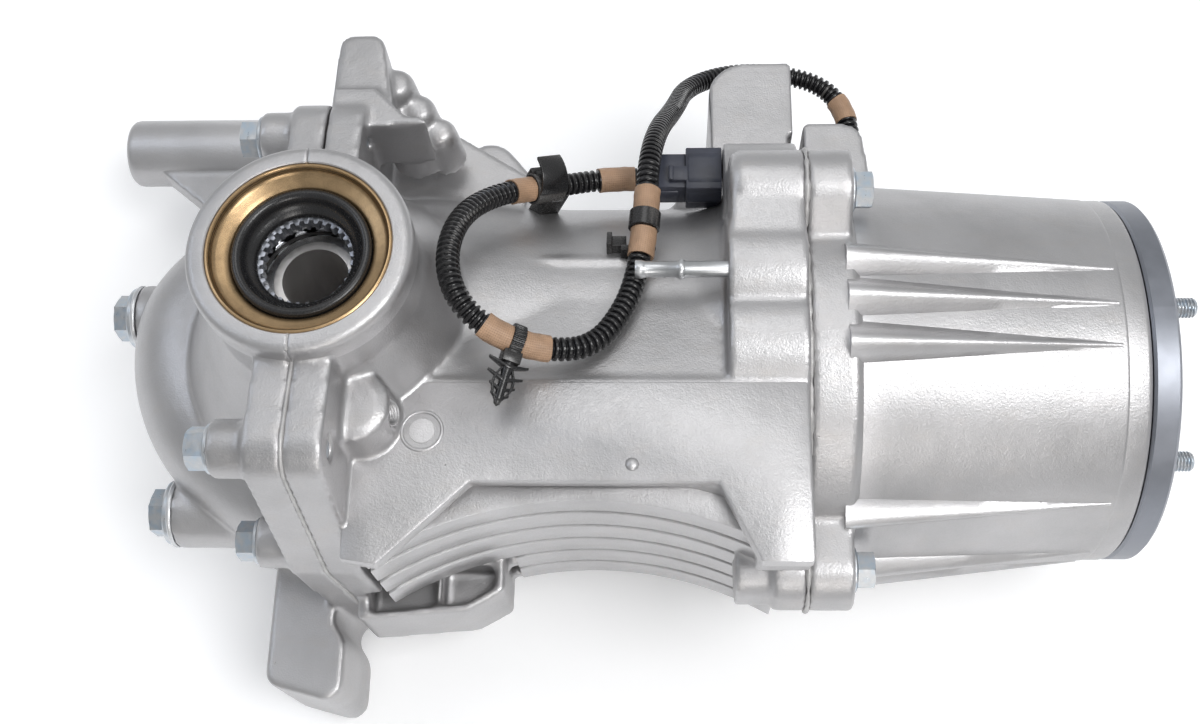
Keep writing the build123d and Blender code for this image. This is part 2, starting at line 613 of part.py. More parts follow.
for points, name in ((SEAL_CASE, "axle_seal_cases"), (SEAL_LIP, "axle_seal_lips")):
    with BuildPart() as seals:
        revolve(outline(port_points(points, PORT_TOP, 1), AXLE_SECTION), axis=AXLE)
        revolve(outline(port_points(points, PORT_LOW, -1), AXLE_SECTION), axis=AXLE)
    finish(seals.part, name)

# Tapered roller bearings
ROLL_GAP = 0.05          # between rollers and raceways
ROLL_END = 0.25          # between roller ends and ribs
CAGE_GAP = 0.15


class TaperedBearing:
    """Sections of a tapered bearing, in radius and distance along its axis from the cone's back face."""

    def __init__(self, bore, outer, cone_w, cup_w, height, count):
        self.bore, self.outer, self.cone_w, self.cup_w, self.height = bore, outer, cone_w, cup_w, height
        self.count = count
        band = outer - bore
        self.big = band * 0.25
        self.small = self.big * 0.86
        self.t0 = 2.8
        self.t1 = cone_w - 2.0
        middle = (bore + outer) / 2
        self.r0 = middle + 0.10 * band
        self.r1 = middle - 0.10 * band
        length = sqrt((self.t1 - self.t0) ** 2 + (self.r0 - self.r1) ** 2)
        self.along = ((self.r1 - self.r0) / length, (self.t1 - self.t0) / length)
        self.across = (self.along[1], -self.along[0])

    def point(self, end, offset, reach=0.0):
        """Point beside the roller axis: end 0 or 1, offset across it, reach beyond that end."""
        r, t = ((self.r0, self.t0), (self.r1, self.t1))[end]
        shift = reach if end else -reach
        return (r + self.across[0] * offset + self.along[0] * shift, t + self.across[1] * offset + self.along[1] * shift)

    def cone(self):
        """Inner ring with its two ribs."""
        a = self.point(0, -self.big - ROLL_GAP, ROLL_END)
        b = self.point(1, -self.small - ROLL_GAP, ROLL_END)
        rib = self.point(0, -self.big * 0.35, ROLL_END)
        lip = self.point(1, -self.small * 0.55, ROLL_END)
        return [(self.bore, 0), (rib[0], 0), rib, a, b, lip, (lip[0], self.cone_w), (self.bore, self.cone_w)]

    def cup(self):
        """Outer ring."""
        a = self.point(0, self.big + ROLL_GAP)
        b = self.point(1, self.small + ROLL_GAP)
        slope = (b[0] - a[0]) / (b[1] - a[1])
        t = self.height - self.cup_w
        return [(a[0] + slope * (t - a[1]), t), (self.outer, t), (self.outer, self.height),
                (a[0] + slope * (self.height - a[1]), self.height)]

    def roller(self, gap=0.0):
        """Half section of one roller, from its axis outwards."""
        return [self.point(0, 0, gap), self.point(0, self.big + gap, gap), self.point(1, self.small + gap, gap),
                self.point(1, 0, gap)]

    def cage(self):
        """Band that the rollers sit in."""
        half = 0.5
        return [self.point(0, half + 0.3, 1.9), self.point(1, half + 0.3, 1.5), self.point(1, 0.3 - half, 1.5),
                self.point(0, 0.3 - half, 1.9)]


class Seat:
    """Where a bearing stands: its section plane, the axis, and the map from its own section to the plane."""

    def __init__(self, plane, axis, back, side, radial_first):
        self.plane, self.axis, self.back, self.side, self.radial_first = plane, axis, back, side, radial_first

    def place(self, points):
        """Section points on the seat's plane."""
        if self.radial_first:
            return [(r, self.back + self.side * t) for r, t in points]
        return [(self.back + self.side * t, r) for r, t in points]

    def ring(self, points):
        """Turned ring."""
        with BuildPart() as body:
            revolve(outline(self.place(points), self.plane), axis=self.axis)
        return body.part

    def rollers(self, bearing, gap=0.0):
        """All rollers of a bearing, grown by a gap for their pockets."""
        section = self.place(bearing.roller(gap))
        start, end = self.plane.from_local_coords(section[0]), self.plane.from_local_coords(section[-1])
        with BuildPart() as one:
            revolve(outline(section, self.plane), axis=Axis(start, end - start))
        return [one.part.rotate(self.axis, i * 360 / bearing.count) for i in range(bearing.count)]

    def cage(self, bearing):
        """Cage with its pockets."""
        with BuildPart() as body:
            revolve(outline(self.place(bearing.cage()), self.plane), axis=self.axis)
            add(self.rollers(bearing, CAGE_GAP), mode=Mode.SUBTRACT)
        return body.part


CARRIER_BEARING = TaperedBearing(HUB_R, CUP_R, CONE_W, CUP_W, BEARING_T, 16)
LARGE_BEARING = TaperedBearing(SHAFT_R, PINION_CUP_R, 17.0, PINION_CUP_W, 18.0, 15)
SMALL_BEARING = TaperedBearing(SHAFT_R, OUTER_CUP_R, 17.0, 13.0, 18.0, 16)
UPPER_SEAT = Seat(AXLE_SECTION, AXLE, TOP_SHOULDER, 1, True)
LOWER_SEAT = Seat(AXLE_SECTION, AXLE, LOW_SHOULDER, -1, True)
LARGE_SEAT = Seat(Plane.XZ, Axis.X, INNER_SEAT_X - LARGE_BEARING.height, 1, False)
SMALL_SEAT = Seat(Plane.XZ, Axis.X, OUTER_SEAT_X + SMALL_BEARING.height, -1, False)
CARRIER_PAIR = ((UPPER_SEAT, CARRIER_BEARING), (LOWER_SEAT, CARRIER_BEARING))
PINION_PAIR = ((LARGE_SEAT, LARGE_BEARING), (SMALL_SEAT, SMALL_BEARING))


def bearing_nodes(pair, name):
    """Write cups, cones, rollers and cages of a pair of bearings, each kind as one group."""
    finish(Compound(children=[seat.ring(bearing.cup()) for seat, bearing in pair]), name + "_bearing_cups")
    finish(Compound(children=[seat.ring(bearing.cone()) for seat, bearing in pair]), name + "_bearing_cones")
    rollers = [roller for seat, bearing in pair for roller in seat.rollers(bearing)]
    finish(Compound(children=rollers), name + "_bearing_rollers")
    finish(Compound(children=[seat.cage(bearing) for seat, bearing in pair]), name + "_bearing_cages")


bearing_nodes(CARRIER_PAIR, "carrier")
bearing_nodes(PINION_PAIR, "pinion")


# Bevel gears
class BevelGear:
    """Straight bevel gear seen from the apex that it shares with its mate."""

    def __init__(self, apex, axis, mesh, teeth, mate_teeth, pitch_r, face, pressure, shift, backlash, head, foot):
        self.apex, self.axis, self.mesh = Vector(*apex), Vector(*axis), Vector(*mesh)
        self.teeth, self.face, self.pressure = teeth, face, pressure
        self.delta = atan2(teeth, mate_teeth)
        self.module = 2 * pitch_r / teeth
        self.cone = pitch_r / sin(self.delta)
        self.head, self.foot = head * self.module, foot * self.module
        self.virtual_r = pitch_r / cos(self.delta)
        self.half = (self.module * (pi / 2 + 2 * shift * tan(pressure)) - backlash / 2) / 2
        self.along = self.axis * cos(self.delta) + self.mesh * sin(self.delta)
        self.outward = self.mesh * cos(self.delta) - self.axis * sin(self.delta)

    def flank(self, level):
        """Half thickness of a tooth as an angle at a level above the pitch line."""
        base = self.virtual_r * cos(self.pressure)
        r = max(self.virtual_r + level, base)
        turn = acos(base / r)
        pitch_turn = self.pressure
        return self.half / self.virtual_r + (tan(pitch_turn) - pitch_turn) - (tan(turn) - turn)

    def profile(self, sink):
        """Points of one tooth on the back cone, from the root up one side and down the other."""
        levels = [-self.foot - sink, -self.foot, -self.foot * 0.5, 0, self.head * 0.35, self.head * 0.7, self.head]
        side = []
        for level in levels:
            r, angle = self.virtual_r + level, self.flank(level)
            side.append((r * sin(angle), r * cos(angle) - self.virtual_r))
        return side + [(-x, y) for x, y in reversed(side)]

    def tooth(self, sink, turn=0.0):
        """One tooth as a ruled loft towards the apex."""
        faces = []
        for distance in (self.cone, self.cone - self.face):
            plane = Plane(
                origin=self.apex + self.along * distance,
                x_dir=self.mesh.cross(self.axis),
                z_dir=self.along,
            )
            scale = distance / self.cone
            faces.append(outline([(x * scale, y * scale) for x, y in self.profile(sink)], plane).faces()[0])
        with BuildPart() as body:
            loft(faces, ruled=True)
        return body.part.rotate(Axis(self.apex, self.axis), turn)

    def teeth_all(self, sink, offset):
        """All teeth; offset is the turn of the first one in tooth pitches."""
        first = self.tooth(sink)
        step = 360 / self.teeth
        turning = Axis(self.apex, self.axis)
        return [first.rotate(turning, (i + offset) * step) for i in range(self.teeth)]

    def root(self, distance):
        """Distance along the axis and radius of the root line at a distance from the apex."""
        foot = self.foot * distance / self.cone
        along = distance * cos(self.delta) + foot * sin(self.delta)
        return (along, distance * sin(self.delta) - foot * cos(self.delta))


DRIVE_CENTRE = (AXLE_X, 0, 0)
ring = BevelGear(
    DRIVE_CENTRE, (0, 0, -1), (1, 0, 0), RING_TEETH, PINION_TEETH, RING_PITCH_R, FACE_W,
    DRIVE_PRESSURE, -DRIVE_SHIFT, DRIVE_BACKLASH, 0.65, 1.15,
)
pinion = BevelGear(
    DRIVE_CENTRE, (1, 0, 0), (0, 0, -1), PINION_TEETH, RING_TEETH, ring.module * PINION_TEETH / 2, FACE_W,
    DRIVE_PRESSURE, DRIVE_SHIFT, DRIVE_BACKLASH, 0.95, 0.85,
)
side = BevelGear(
    DRIVE_CENTRE, (0, 0, 1), (1, 0, 0), SIDE_TEETH, SPIDER_TEETH, SIDE_PITCH_R, DIFF_FACE_W,
    DIFF_PRESSURE, -DIFF_SHIFT, DIFF_BACKLASH, 0.6, 1.1,
)
spider = BevelGear(
    DRIVE_CENTRE, (1, 0, 0), (0, 0, 1), SPIDER_TEETH, SIDE_TEETH, side.module * SPIDER_TEETH / 2, DIFF_FACE_W,
    DIFF_PRESSURE, DIFF_SHIFT, DIFF_BACKLASH, 0.9, 0.8,
)

RING_OUTER_R = RING_PITCH_R + 0.4
with BuildPart() as ring_gear:
    inner, outer = ring.root(ring.cone - ring.face - 1), ring.root(ring.cone)
    slope = (outer[0] - inner[0]) / (outer[1] - inner[1])
    rim = (RING_OUTER_R, -(outer[0] + slope * (RING_OUTER_R - outer[1])))
    blank = [
        (RING_BORE_R, -RING_BACK), (RING_OUTER_R, -RING_BACK), rim, (inner[1], -inner[0]),
        (inner[1] - 0.8, -inner[0] - 0.8), (RING_BORE_R + 2, -RING_BACK + 9), (RING_BORE_R, -RING_BACK + 7),
    ]
    revolve(outline(blank, AXLE_SECTION), axis=AXLE)
    add(ring.teeth_all(0.7, 0))
    with BuildSketch(Plane.XY.offset(-RING_BACK)) as taps:
        with Locations((AXLE_X, 0)):
            with PolarLocations(RING_BOLT_R, RING_BOLTS):
                Circle(5)
    extrude(amount=12, mode=Mode.SUBTRACT)
print("ring gear", ring_gear.part.volume, len(ring_gear.part.solids()))
finish(ring_gear.part, "ring_gear")

PINION_COLLAR_R = 23.0
LARGE_BACK_X = INNER_SEAT_X - LARGE_BEARING.height
NUT_X0 = OUTER_SEAT_X + SMALL_BEARING.height
NUT_X1 = NUT_X0 + 10
HUB_X0 = -128.0
HUB_X1 = -98.0
HUB_WEB_X0 = -112.0
HUB_WEB_X1 = -105.0
with BuildPart() as pinion_shaft:
    inner, outer = pinion.root(pinion.cone - pinion.face - 1), pinion.root(pinion.cone + 0.8)
    blank = [
        (AXLE_X + inner[0], 0), (AXLE_X + inner[0], inner[1]), (AXLE_X + outer[0], outer[1]),
        (AXLE_X + outer[0] + 1.2, PINION_COLLAR_R), (LARGE_BACK_X, PINION_COLLAR_R), (LARGE_BACK_X, SHAFT_R),
        (SHAFT_END_X - 1.5, SHAFT_R), (SHAFT_END_X, SHAFT_R - 1.5), (SHAFT_END_X, 0),
    ]
    revolve(outline(blank, Plane.XZ), axis=Axis.X)
    add(pinion.teeth_all(0.7, 0.5))
print("pinion", pinion_shaft.part.volume, len(pinion_shaft.part.solids()))
finish(pinion_shaft.part, "pinion_shaft")

# Differential gears
SEAT_Z = SIDE_BACK + WASHER_T + 0.1
with BuildPart() as upper_side_gear:
    inner, outer = side.root(side.cone - side.face - 0.6), side.root(side.cone + 0.5)
    blank = [
        (SIDE_BORE_R, inner[0]), (inner[1], inner[0]), (outer[1], outer[0]), (SIDE_PITCH_R + 0.2, outer[0] + 1.6),
        (SIDE_PITCH_R + 0.2, SIDE_BACK), (SIDE_HUB_R, SIDE_BACK), (SIDE_HUB_R, 36), (SIDE_BORE_R, 36),
    ]
    revolve(outline(blank, AXLE_SECTION), axis=AXLE)
    add(side.teeth_all(0.6, 0))
print("side gear", upper_side_gear.part.volume, len(upper_side_gear.part.solids()))
finish(upper_side_gear.part, "upper_side_gear")
finish(upper_side_gear.part.mirror(Plane.XY), "lower_side_gear")

SPIDER_SPHERE_R = 33.0
with BuildPart() as spider_gear_front:
    inner, outer = spider.root(spider.cone - spider.face - 0.6), spider.root(spider.cone + 0.4)
    bore = PIN_R + RUN
    back_r = 15.4
    with BuildSketch(Plane.XZ) as section:
        with BuildLine():
            Polyline(
                (AXLE_X + sqrt(SPIDER_SPHERE_R**2 - bore**2), bore), (AXLE_X + inner[0], bore),
                (AXLE_X + inner[0], inner[1]), (AXLE_X + outer[0], outer[1]), (AXLE_X + outer[0] + 1.4, back_r),
                (AXLE_X + sqrt(SPIDER_SPHERE_R**2 - back_r**2), back_r),
            )
            ThreePointArc(
                (AXLE_X + sqrt(SPIDER_SPHERE_R**2 - back_r**2), back_r),
                (AXLE_X + sqrt(SPIDER_SPHERE_R**2 - 11.5**2), 11.5),
                (AXLE_X + sqrt(SPIDER_SPHERE_R**2 - bore**2), bore),
            )
        make_face()
    revolve(axis=Axis.X)
    add(spider.teeth_all(0.6, 0.5))
print("spider gear", spider_gear_front.part.volume, len(spider_gear_front.part.solids()))
finish(spider_gear_front.part, "spider_gear_front")
finish(spider_gear_front.part.rotate(AXLE, 180), "spider_gear_rear")

with BuildPart() as side_gear_washers:
    for z in (1, -1):
        revolve(axle_ring(SIDE_HUB_R + 0.1, 22.5, z * (SIDE_BACK + 0.05), z * (SIDE_BACK + 0.05 + WASHER_T)), axis=AXLE)
finish(side_gear_washers.part, "side_gear_washers")



def washer_point(radius, r):
    """Point of a sphere about the differential centre, at a distance from the cross pin's axis."""
    return (AXLE_X + sqrt(radius**2 - r**2), r)


with BuildPart() as front_washer:
    low, high = SPIDER_SPHERE_R + 0.05, SPIDER_SPHERE_R + 0.05 + WASHER_T
    r0, r1 = PIN_R + 0.1, 14.5
    with BuildSketch(Plane.XZ):
        with BuildLine():
            ThreePointArc(washer_point(low, r0), washer_point(low, 11), washer_point(low, r1))
            Line(washer_point(low, r1), washer_point(high, r1))
            ThreePointArc(washer_point(high, r1), washer_point(high, 11), washer_point(high, r0))
            Line(washer_point(high, r0), washer_point(low, r0))
        make_face()
    revolve(axis=Axis.X)
with BuildPart() as spider_gear_washers:
    add(front_washer.part)
    add(front_washer.part.rotate(AXLE, 180))
finish(spider_gear_washers.part, "spider_gear_washers")

# Differential case with its two windows
CASE_TOP = 42.0
NECK_CASE_R = 23.0
LOCK_X = AXLE_X + 38.2
LOCK_R = 2.2
with BuildPart() as diff_case:
    blank = [
        (0, LOW_SHOULDER - CONE_W - 2), (HUB_R, LOW_SHOULDER - CONE_W - 2), (HUB_R, LOW_SHOULDER),
        (CASE_FLANGE_R, LOW_SHOULDER), (CASE_FLANGE_R, -RING_BACK), (RING_BORE_R, -RING_BACK),
        (RING_BORE_R, -RING_BACK + 7), (CASE_R, -RING_BACK + 8), (CASE_R, 22), (NECK_CASE_R + 4, CASE_TOP),
        (NECK_CASE_R, CASE_TOP + 6), (NECK_CASE_R, TOP_SHOULDER), (HUB_R, TOP_SHOULDER),
        (HUB_R, TOP_SHOULDER + CONE_W + 2), (0, TOP_SHOULDER + CONE_W + 2),
    ]
    revolve(outline(blank, AXLE_SECTION), axis=AXLE)
    with Locations((AXLE_X, 0, 0)):
        Sphere(SPHERE_R, mode=Mode.SUBTRACT)
    revolve(axle_ring(0, 26, -SEAT_Z, SEAT_Z), axis=AXLE, mode=Mode.SUBTRACT)
    revolve(axle_ring(0, SIDE_HUB_R + RUN, -37, 37), axis=AXLE, mode=Mode.SUBTRACT)
    revolve(axle_ring(0, HUB_BORE_R, -120, 120), axis=AXLE, mode=Mode.SUBTRACT)
    # windows towards +Y and -Y
    with BuildSketch(Plane(origin=(AXLE_X, 0, 0), x_dir=(1, 0, 0), z_dir=(0, -1, 0))) as window:
        RectangleRounded(40, 44, 10)
    extrude(amount=60, both=True, mode=Mode.SUBTRACT)
    # bores of the cross pin and its lock pin, bolt holes of the flange
    extrude(discs(cross_plane(AXLE_X), [(0, 0)], PIN_R), amount=60, both=True, mode=Mode.SUBTRACT)
    extrude(discs(Plane.XY.offset(LOW_SHOULDER - 1), [(LOCK_X, 0)], LOCK_R), amount=72, mode=Mode.SUBTRACT)
    with BuildSketch(Plane.XY.offset(LOW_SHOULDER)) as holes:
        with Locations((AXLE_X, 0)):
            with PolarLocations(RING_BOLT_R, RING_BOLTS):
                Circle(5.2)
    extrude(amount=20, mode=Mode.SUBTRACT)
print("diff case", diff_case.part.volume, len(diff_case.part.solids()))
finish(diff_case.part, "diff_case")

with BuildPart() as ring_gear_bolts:
    for size, z0, z1 in ((5.0, LOW_SHOULDER, LOW_SHOULDER + CASE_FLANGE_T + 11), (0, LOW_SHOULDER - 5, LOW_SHOULDER)):
        with BuildSketch(Plane.XY.offset(z0)) as bolt:
            with Locations((AXLE_X, 0)):
                with PolarLocations(RING_BOLT_R, RING_BOLTS):
                    if size:
                        Circle(size)
                    else:
                        RegularPolygon(7, 6, major_radius=False)
        extrude(amount=z1 - z0)
finish(ring_gear_bolts.part, "ring_gear_bolts")

with BuildPart() as cross_pin:
    extrude(discs(cross_plane(AXLE_X - CASE_R + 1), [(0, 0)], PIN_R), amount=2 * CASE_R - 2)
    extrude(discs(Plane.XY.offset(-20), [(LOCK_X, 0)], LOCK_R), amount=40, mode=Mode.SUBTRACT)
finish(cross_pin.part, "cross_pin")

with BuildPart() as cross_pin_lock:
    extrude(discs(Plane.XY.offset(LOW_SHOULDER + 1), [(LOCK_X, 0)], LOCK_R), amount=68)
finish(cross_pin_lock.part, "cross_pin_lock")

# On the pinion shaft
with BuildPart() as pinion_spacer:
    revolve(
        ring_outline(LARGE_BACK_X + LARGE_BEARING.cone_w, NUT_X0 - SMALL_BEARING.cone_w, SHAFT_R, SHAFT_R + 4),
        axis=Axis.X,
    )
finish(pinion_spacer.part, "pinion_spacer")

with BuildPart() as pinion_nut:
    extrude(hexagons(cross_plane(NUT_X0), [(0, 0)], 46), amount=NUT_X1 - NUT_X0)
    extrude(discs(cross_plane(NUT_X0), [(0, 0)], SHAFT_R), amount=NUT_X1 - NUT_X0, mode=Mode.SUBTRACT)
finish(pinion_nut.part, "pinion_nut")

# Multi-plate clutch
KEYS = 12
KEY_W = 5.0
HUB_BODY_R = CLUTCH_HUB_R - 2
KEY_FIT = 0.1
LINING_R0 = 39.5
DRUM_INSIDE_R = DRUM_R - DRUM_WALL
DRUM_KEY_R = DRUM_INSIDE_R - 1.6
DRUM_BACK_X = -60.0
DRUM_WEB_T = 8.0
DRUM_END_X = -114.0


def keys(plane, r0, r1, width):
    """Radial key outlines, evenly spaced."""
    with BuildSketch(plane) as face:
        with PolarLocations((r0 + r1) / 2, KEYS):
            Rectangle(r1 - r0, width)
    return face.sketch


with BuildPart() as clutch_hub:
    hub = [
        (HUB_X0, SHAFT_R), (HUB_X0, 24), (HUB_WEB_X0, 25), (HUB_WEB_X0, HUB_BODY_R), (PLATE_FIRST_X, HUB_BODY_R),
        (PLATE_FIRST_X, HUB_BODY_R - 4), (HUB_WEB_X1, HUB_BODY_R - 4), (HUB_WEB_X1, 25), (HUB_X1, 24), (HUB_X1, SHAFT_R),
    ]
    revolve(outline(hub, Plane.XZ), axis=Axis.X)
    extrude(keys(cross_plane(HUB_WEB_X0), HUB_BODY_R - 2, CLUTCH_HUB_R, KEY_W), amount=PLATE_FIRST_X - HUB_WEB_X0)
print("clutch hub", clutch_hub.part.volume, len(clutch_hub.part.solids()))
finish(clutch_hub.part, "clutch_hub")

with BuildPart() as outer_clutch_plates:
    for i in range(OUTER_PLATES):
        x = PLATE_FIRST_X - PLATE_T - i * PLATE_PITCH
        extrude(discs(cross_plane(x), [(0, 0)], DRUM_INSIDE_R - KEY_FIT), amount=PLATE_T)
        extrude(discs(cross_plane(x), [(0, 0)], LINING_R0), amount=PLATE_T, mode=Mode.SUBTRACT)
        extrude(keys(cross_plane(x), DRUM_KEY_R - KEY_FIT, DRUM_R, KEY_W + 2 * KEY_FIT), amount=PLATE_T, mode=Mode.SUBTRACT)
finish(outer_clutch_plates.part, "outer_clutch_plates")

with BuildPart() as inner_clutch_plates:
    for i in range(OUTER_PLATES - 1):
        x = PLATE_FIRST_X - PLATE_T - PLATE_PITCH / 2 - i * PLATE_PITCH
        extrude(discs(cross_plane(x), [(0, 0)], DRUM_KEY_R - 0.8), amount=PLATE_T)
        extrude(discs(cross_plane(x), [(0, 0)], HUB_BODY_R + KEY_FIT), amount=PLATE_T, mode=Mode.SUBTRACT)
        extrude(keys(cross_plane(x), 20, CLUTCH_HUB_R + KEY_FIT, KEY_W + 2 * KEY_FIT), amount=PLATE_T, mode=Mode.SUBTRACT)
finish(inner_clutch_plates.part, "inner_clutch_plates")

PRESSURE_X1 = PLATE_FIRST_X - PLATE_T - (OUTER_PLATES - 1) * PLATE_PITCH - PLATE_PITCH / 2
PRESSURE_X0 = PRESSURE_X1 - 5.5
with BuildPart() as pressure_plate:
    extrude(discs(cross_plane(PRESSURE_X0), [(0, 0)], DRUM_INSIDE_R - KEY_FIT), amount=PRESSURE_X1 - PRESSURE_X0)
    extrude(discs(cross_plane(PRESSURE_X0), [(0, 0)], LINING_R0), amount=20, mode=Mode.SUBTRACT)
    extrude(keys(cross_plane(PRESSURE_X0), DRUM_KEY_R - KEY_FIT, DRUM_R, KEY_W + 2 * KEY_FIT), amount=20, mode=Mode.SUBTRACT)
finish(pressure_plate.part, "pressure_plate")

THRUST_X0 = PRESSURE_X0 - 3.6
with BuildPart() as thrust_bearing:
    revolve(ring_outline(THRUST_X0, THRUST_X0 + 1, 41, 53), axis=Axis.X)
    revolve(ring_outline(PRESSURE_X0 - 1, PRESSURE_X0, 41, 53), axis=Axis.X)
    revolve(ring_outline(THRUST_X0 + 0.9, PRESSURE_X0 - 0.9, 41.5, 42.5), axis=Axis.X)
    revolve(ring_outline(THRUST_X0 + 0.9, PRESSURE_X0 - 0.9, 51.5, 52.5), axis=Axis.X)
finish(thrust_bearing.part, "thrust_bearing")

SPLINE_R = 17.0
with BuildPart() as clutch_drum:
    drum = [
        (DRUM_BACK_X, SPLINE_R), (DRUM_BACK_X, DRUM_INSIDE_R), (DRUM_END_X, DRUM_INSIDE_R), (DRUM_END_X, DRUM_R),
        (DRUM_BACK_X + 4, DRUM_R), (DRUM_BACK_X + DRUM_WEB_T, DRUM_R - 4), (DRUM_BACK_X + DRUM_WEB_T, BALL_BORE_R + 3.5),
        (BALL_X0, BALL_BORE_R + 3.5), (BALL_X0, BALL_BORE_R), (-45, BALL_BORE_R), (-45, SPLINE_R),
    ]
    revolve(outline(drum, Plane.XZ), axis=Axis.X)
    extrude(keys(cross_plane(DRUM_END_X), DRUM_KEY_R, DRUM_INSIDE_R + 1, KEY_W), amount=DRUM_BACK_X - DRUM_END_X)
print("clutch drum", clutch_drum.part.volume, len(clutch_drum.part.solids()))
finish(clutch_drum.part, "clutch_drum")

# Input flange, its bearing and its seal
END_RING_R = FLANGE_DISC_R
DISC_R = FLANGE_DISC_R - 5.5
NUT_SHAFT_R = 12.0
HUB_END_X = -70.0
with BuildPart() as companion_flange:
    flange = [
        (0, 0), (0, 30), (FLANGE_SEAT_X, 32), (FLANGE_SEAT_X, DISC_R), (-FLANGE_T, DISC_R), (-FLANGE_T, INPUT_HUB_R),
        (BALL_X1, INPUT_HUB_R),
        (BALL_X1, BALL_BORE_R), (-45, BALL_BORE_R), (-45, SPLINE_R), (DRUM_BACK_X, SPLINE_R), (DRUM_BACK_X, NUT_SHAFT_R),
        (HUB_END_X, NUT_SHAFT_R), (HUB_END_X, 0),
    ]
    revolve(outline(flange, Plane.XZ), axis=Axis.X)
    # pilot recess and stud holes
    revolve(ring_outline(-4, 1, 0, 22), axis=Axis.X, mode=Mode.SUBTRACT)
    with BuildSketch(cross_plane(1)) as stud_holes:
        for angle in STUD_ANGLES:
            with Locations((STUD_PCD / 2 * cos(radians(angle)), STUD_PCD / 2 * sin(radians(angle)))):
                Circle(STUD_KNURL_R)
    extrude(amount=-20, mode=Mode.SUBTRACT)
finish(companion_flange.part, "companion_flange")

with BuildPart() as end_ring:
    rim = [
        (-FLANGE_T, DISC_R), (-FLANGE_T, END_RING_R - 1), (-FLANGE_T + 1, END_RING_R), (-1.2, END_RING_R),
        (0, END_RING_R - 1.2), (0, DISC_R),
    ]
    revolve(outline(rim, Plane.XZ), axis=Axis.X)
finish(end_ring.part, "end_ring")

STUD_POINTS = [(STUD_PCD / 2 * cos(radians(a)), STUD_PCD / 2 * sin(radians(a))) for a in STUD_ANGLES]
with BuildPart() as flange_studs:
    extrude(discs(cross_plane(-FLANGE_T), STUD_POINTS, BOLT_R), amount=FLANGE_T + STUD_LEN)
    extrude(discs(cross_plane(-FLANGE_T), STUD_POINTS, STUD_KNURL_R), amount=FLANGE_T + FLANGE_SEAT_X + 0.3)
    chamfer(flange_studs.faces().group_by(Axis.X)[-1].edges(), 1)
finish(flange_studs.part, "flange_studs")

with BuildPart() as shaft_nut:
    extrude(hexagons(cross_plane(DRUM_BACK_X), [(0, 0)], 32), amount=-8)
    extrude(discs(cross_plane(DRUM_BACK_X), [(0, 0)], NUT_SHAFT_R), amount=-8, mode=Mode.SUBTRACT)
finish(shaft_nut.part, "shaft_nut")

BALL_R = 6.2
BALLS = 11
BALL_PITCH_R = (BALL_BORE_R + BALL_CUP_R) / 2
BALL_X = (BALL_X0 + BALL_X1) / 2
for name, r0, r1, groove in (
    ("input_bearing_inner_race", BALL_BORE_R, BALL_PITCH_R - 3, BALL_R + 0.03),
    ("input_bearing_outer_race", BALL_PITCH_R + 3, BALL_CUP_R, BALL_R + 0.15),
):
    with BuildPart() as race:
        revolve(ring_outline(BALL_X0, BALL_X1, r0, r1), axis=Axis.X)
        revolve(discs(Plane.XZ, [(BALL_X, BALL_PITCH_R)], groove), axis=Axis.X, mode=Mode.SUBTRACT)
    finish(race.part, name)

with BuildPart() as input_bearing_balls:
    with Locations(Plane(origin=(BALL_X, 0, 0), x_dir=(0, 1, 0), z_dir=(1, 0, 0))):
        with PolarLocations(BALL_PITCH_R, BALLS):
            Sphere(BALL_R)
finish(input_bearing_balls.part, "input_bearing_balls")

SEAL_X1 = CASE_END_X - 1.0
INPUT_SEAL_CASE = [(SEAL_X1 - 9, INPUT_SEAL_R), (SEAL_X1, INPUT_SEAL_R), (SEAL_X1, 28.5), (SEAL_X1 - 1.4, 28.5),
                   (SEAL_X1 - 1.4, INPUT_SEAL_R - 1.4), (SEAL_X1 - 9, INPUT_SEAL_R - 1.4)]
INPUT_SEAL_LIP = [(SEAL_X1, 28.5), (SEAL_X1, 25.5), (SEAL_X1 - 4, INPUT_HUB_R + 0.1), (SEAL_X1 - 9, INPUT_HUB_R + 0.3),
                  (SEAL_X1 - 9, 26), (SEAL_X1 - 2.5, 28.5)]
for points, name in ((INPUT_SEAL_CASE, "input_seal_case"), (INPUT_SEAL_LIP, "input_seal_lip")):
    with BuildPart() as seal_piece:
        revolve(outline(points, Plane.XZ), axis=Axis.X)
    finish(seal_piece.part, name)

# Piston and its two sealing rings
PISTON_X0 = -152.0
PISTON_X1 = -139.0
PISTON_GROOVE = (-148.0, -144.0)
NOSE_X = THRUST_X0 - PISTON_TRAVEL - 0.1
with BuildPart() as clutch_piston:
    revolve(ring_outline(PISTON_X0, PISTON_X1, PINION_TUBE_R + 0.1, PISTON_BORE_R - 0.1), axis=Axis.X)
    revolve(ring_outline(PISTON_X1 - 1, NOSE_X, 46, 51), axis=Axis.X)
    revolve(ring_outline(*PISTON_GROOVE, PISTON_BORE_R - 2.5, PISTON_BORE_R + 1), axis=Axis.X, mode=Mode.SUBTRACT)
    revolve(ring_outline(*PISTON_GROOVE, PINION_TUBE_R - 1, PINION_TUBE_R + 2.5), axis=Axis.X, mode=Mode.SUBTRACT)
finish(clutch_piston.part, "clutch_piston")

with BuildPart() as piston_seals:
    revolve(ring_outline(*PISTON_GROOVE, PISTON_BORE_R - 2.5, PISTON_BORE_R - 0.05), axis=Axis.X)
    revolve(ring_outline(*PISTON_GROOVE, PINION_TUBE_R + 0.05, PINION_TUBE_R + 2.5), axis=Axis.X)
finish(piston_seals.part, "piston_seals")

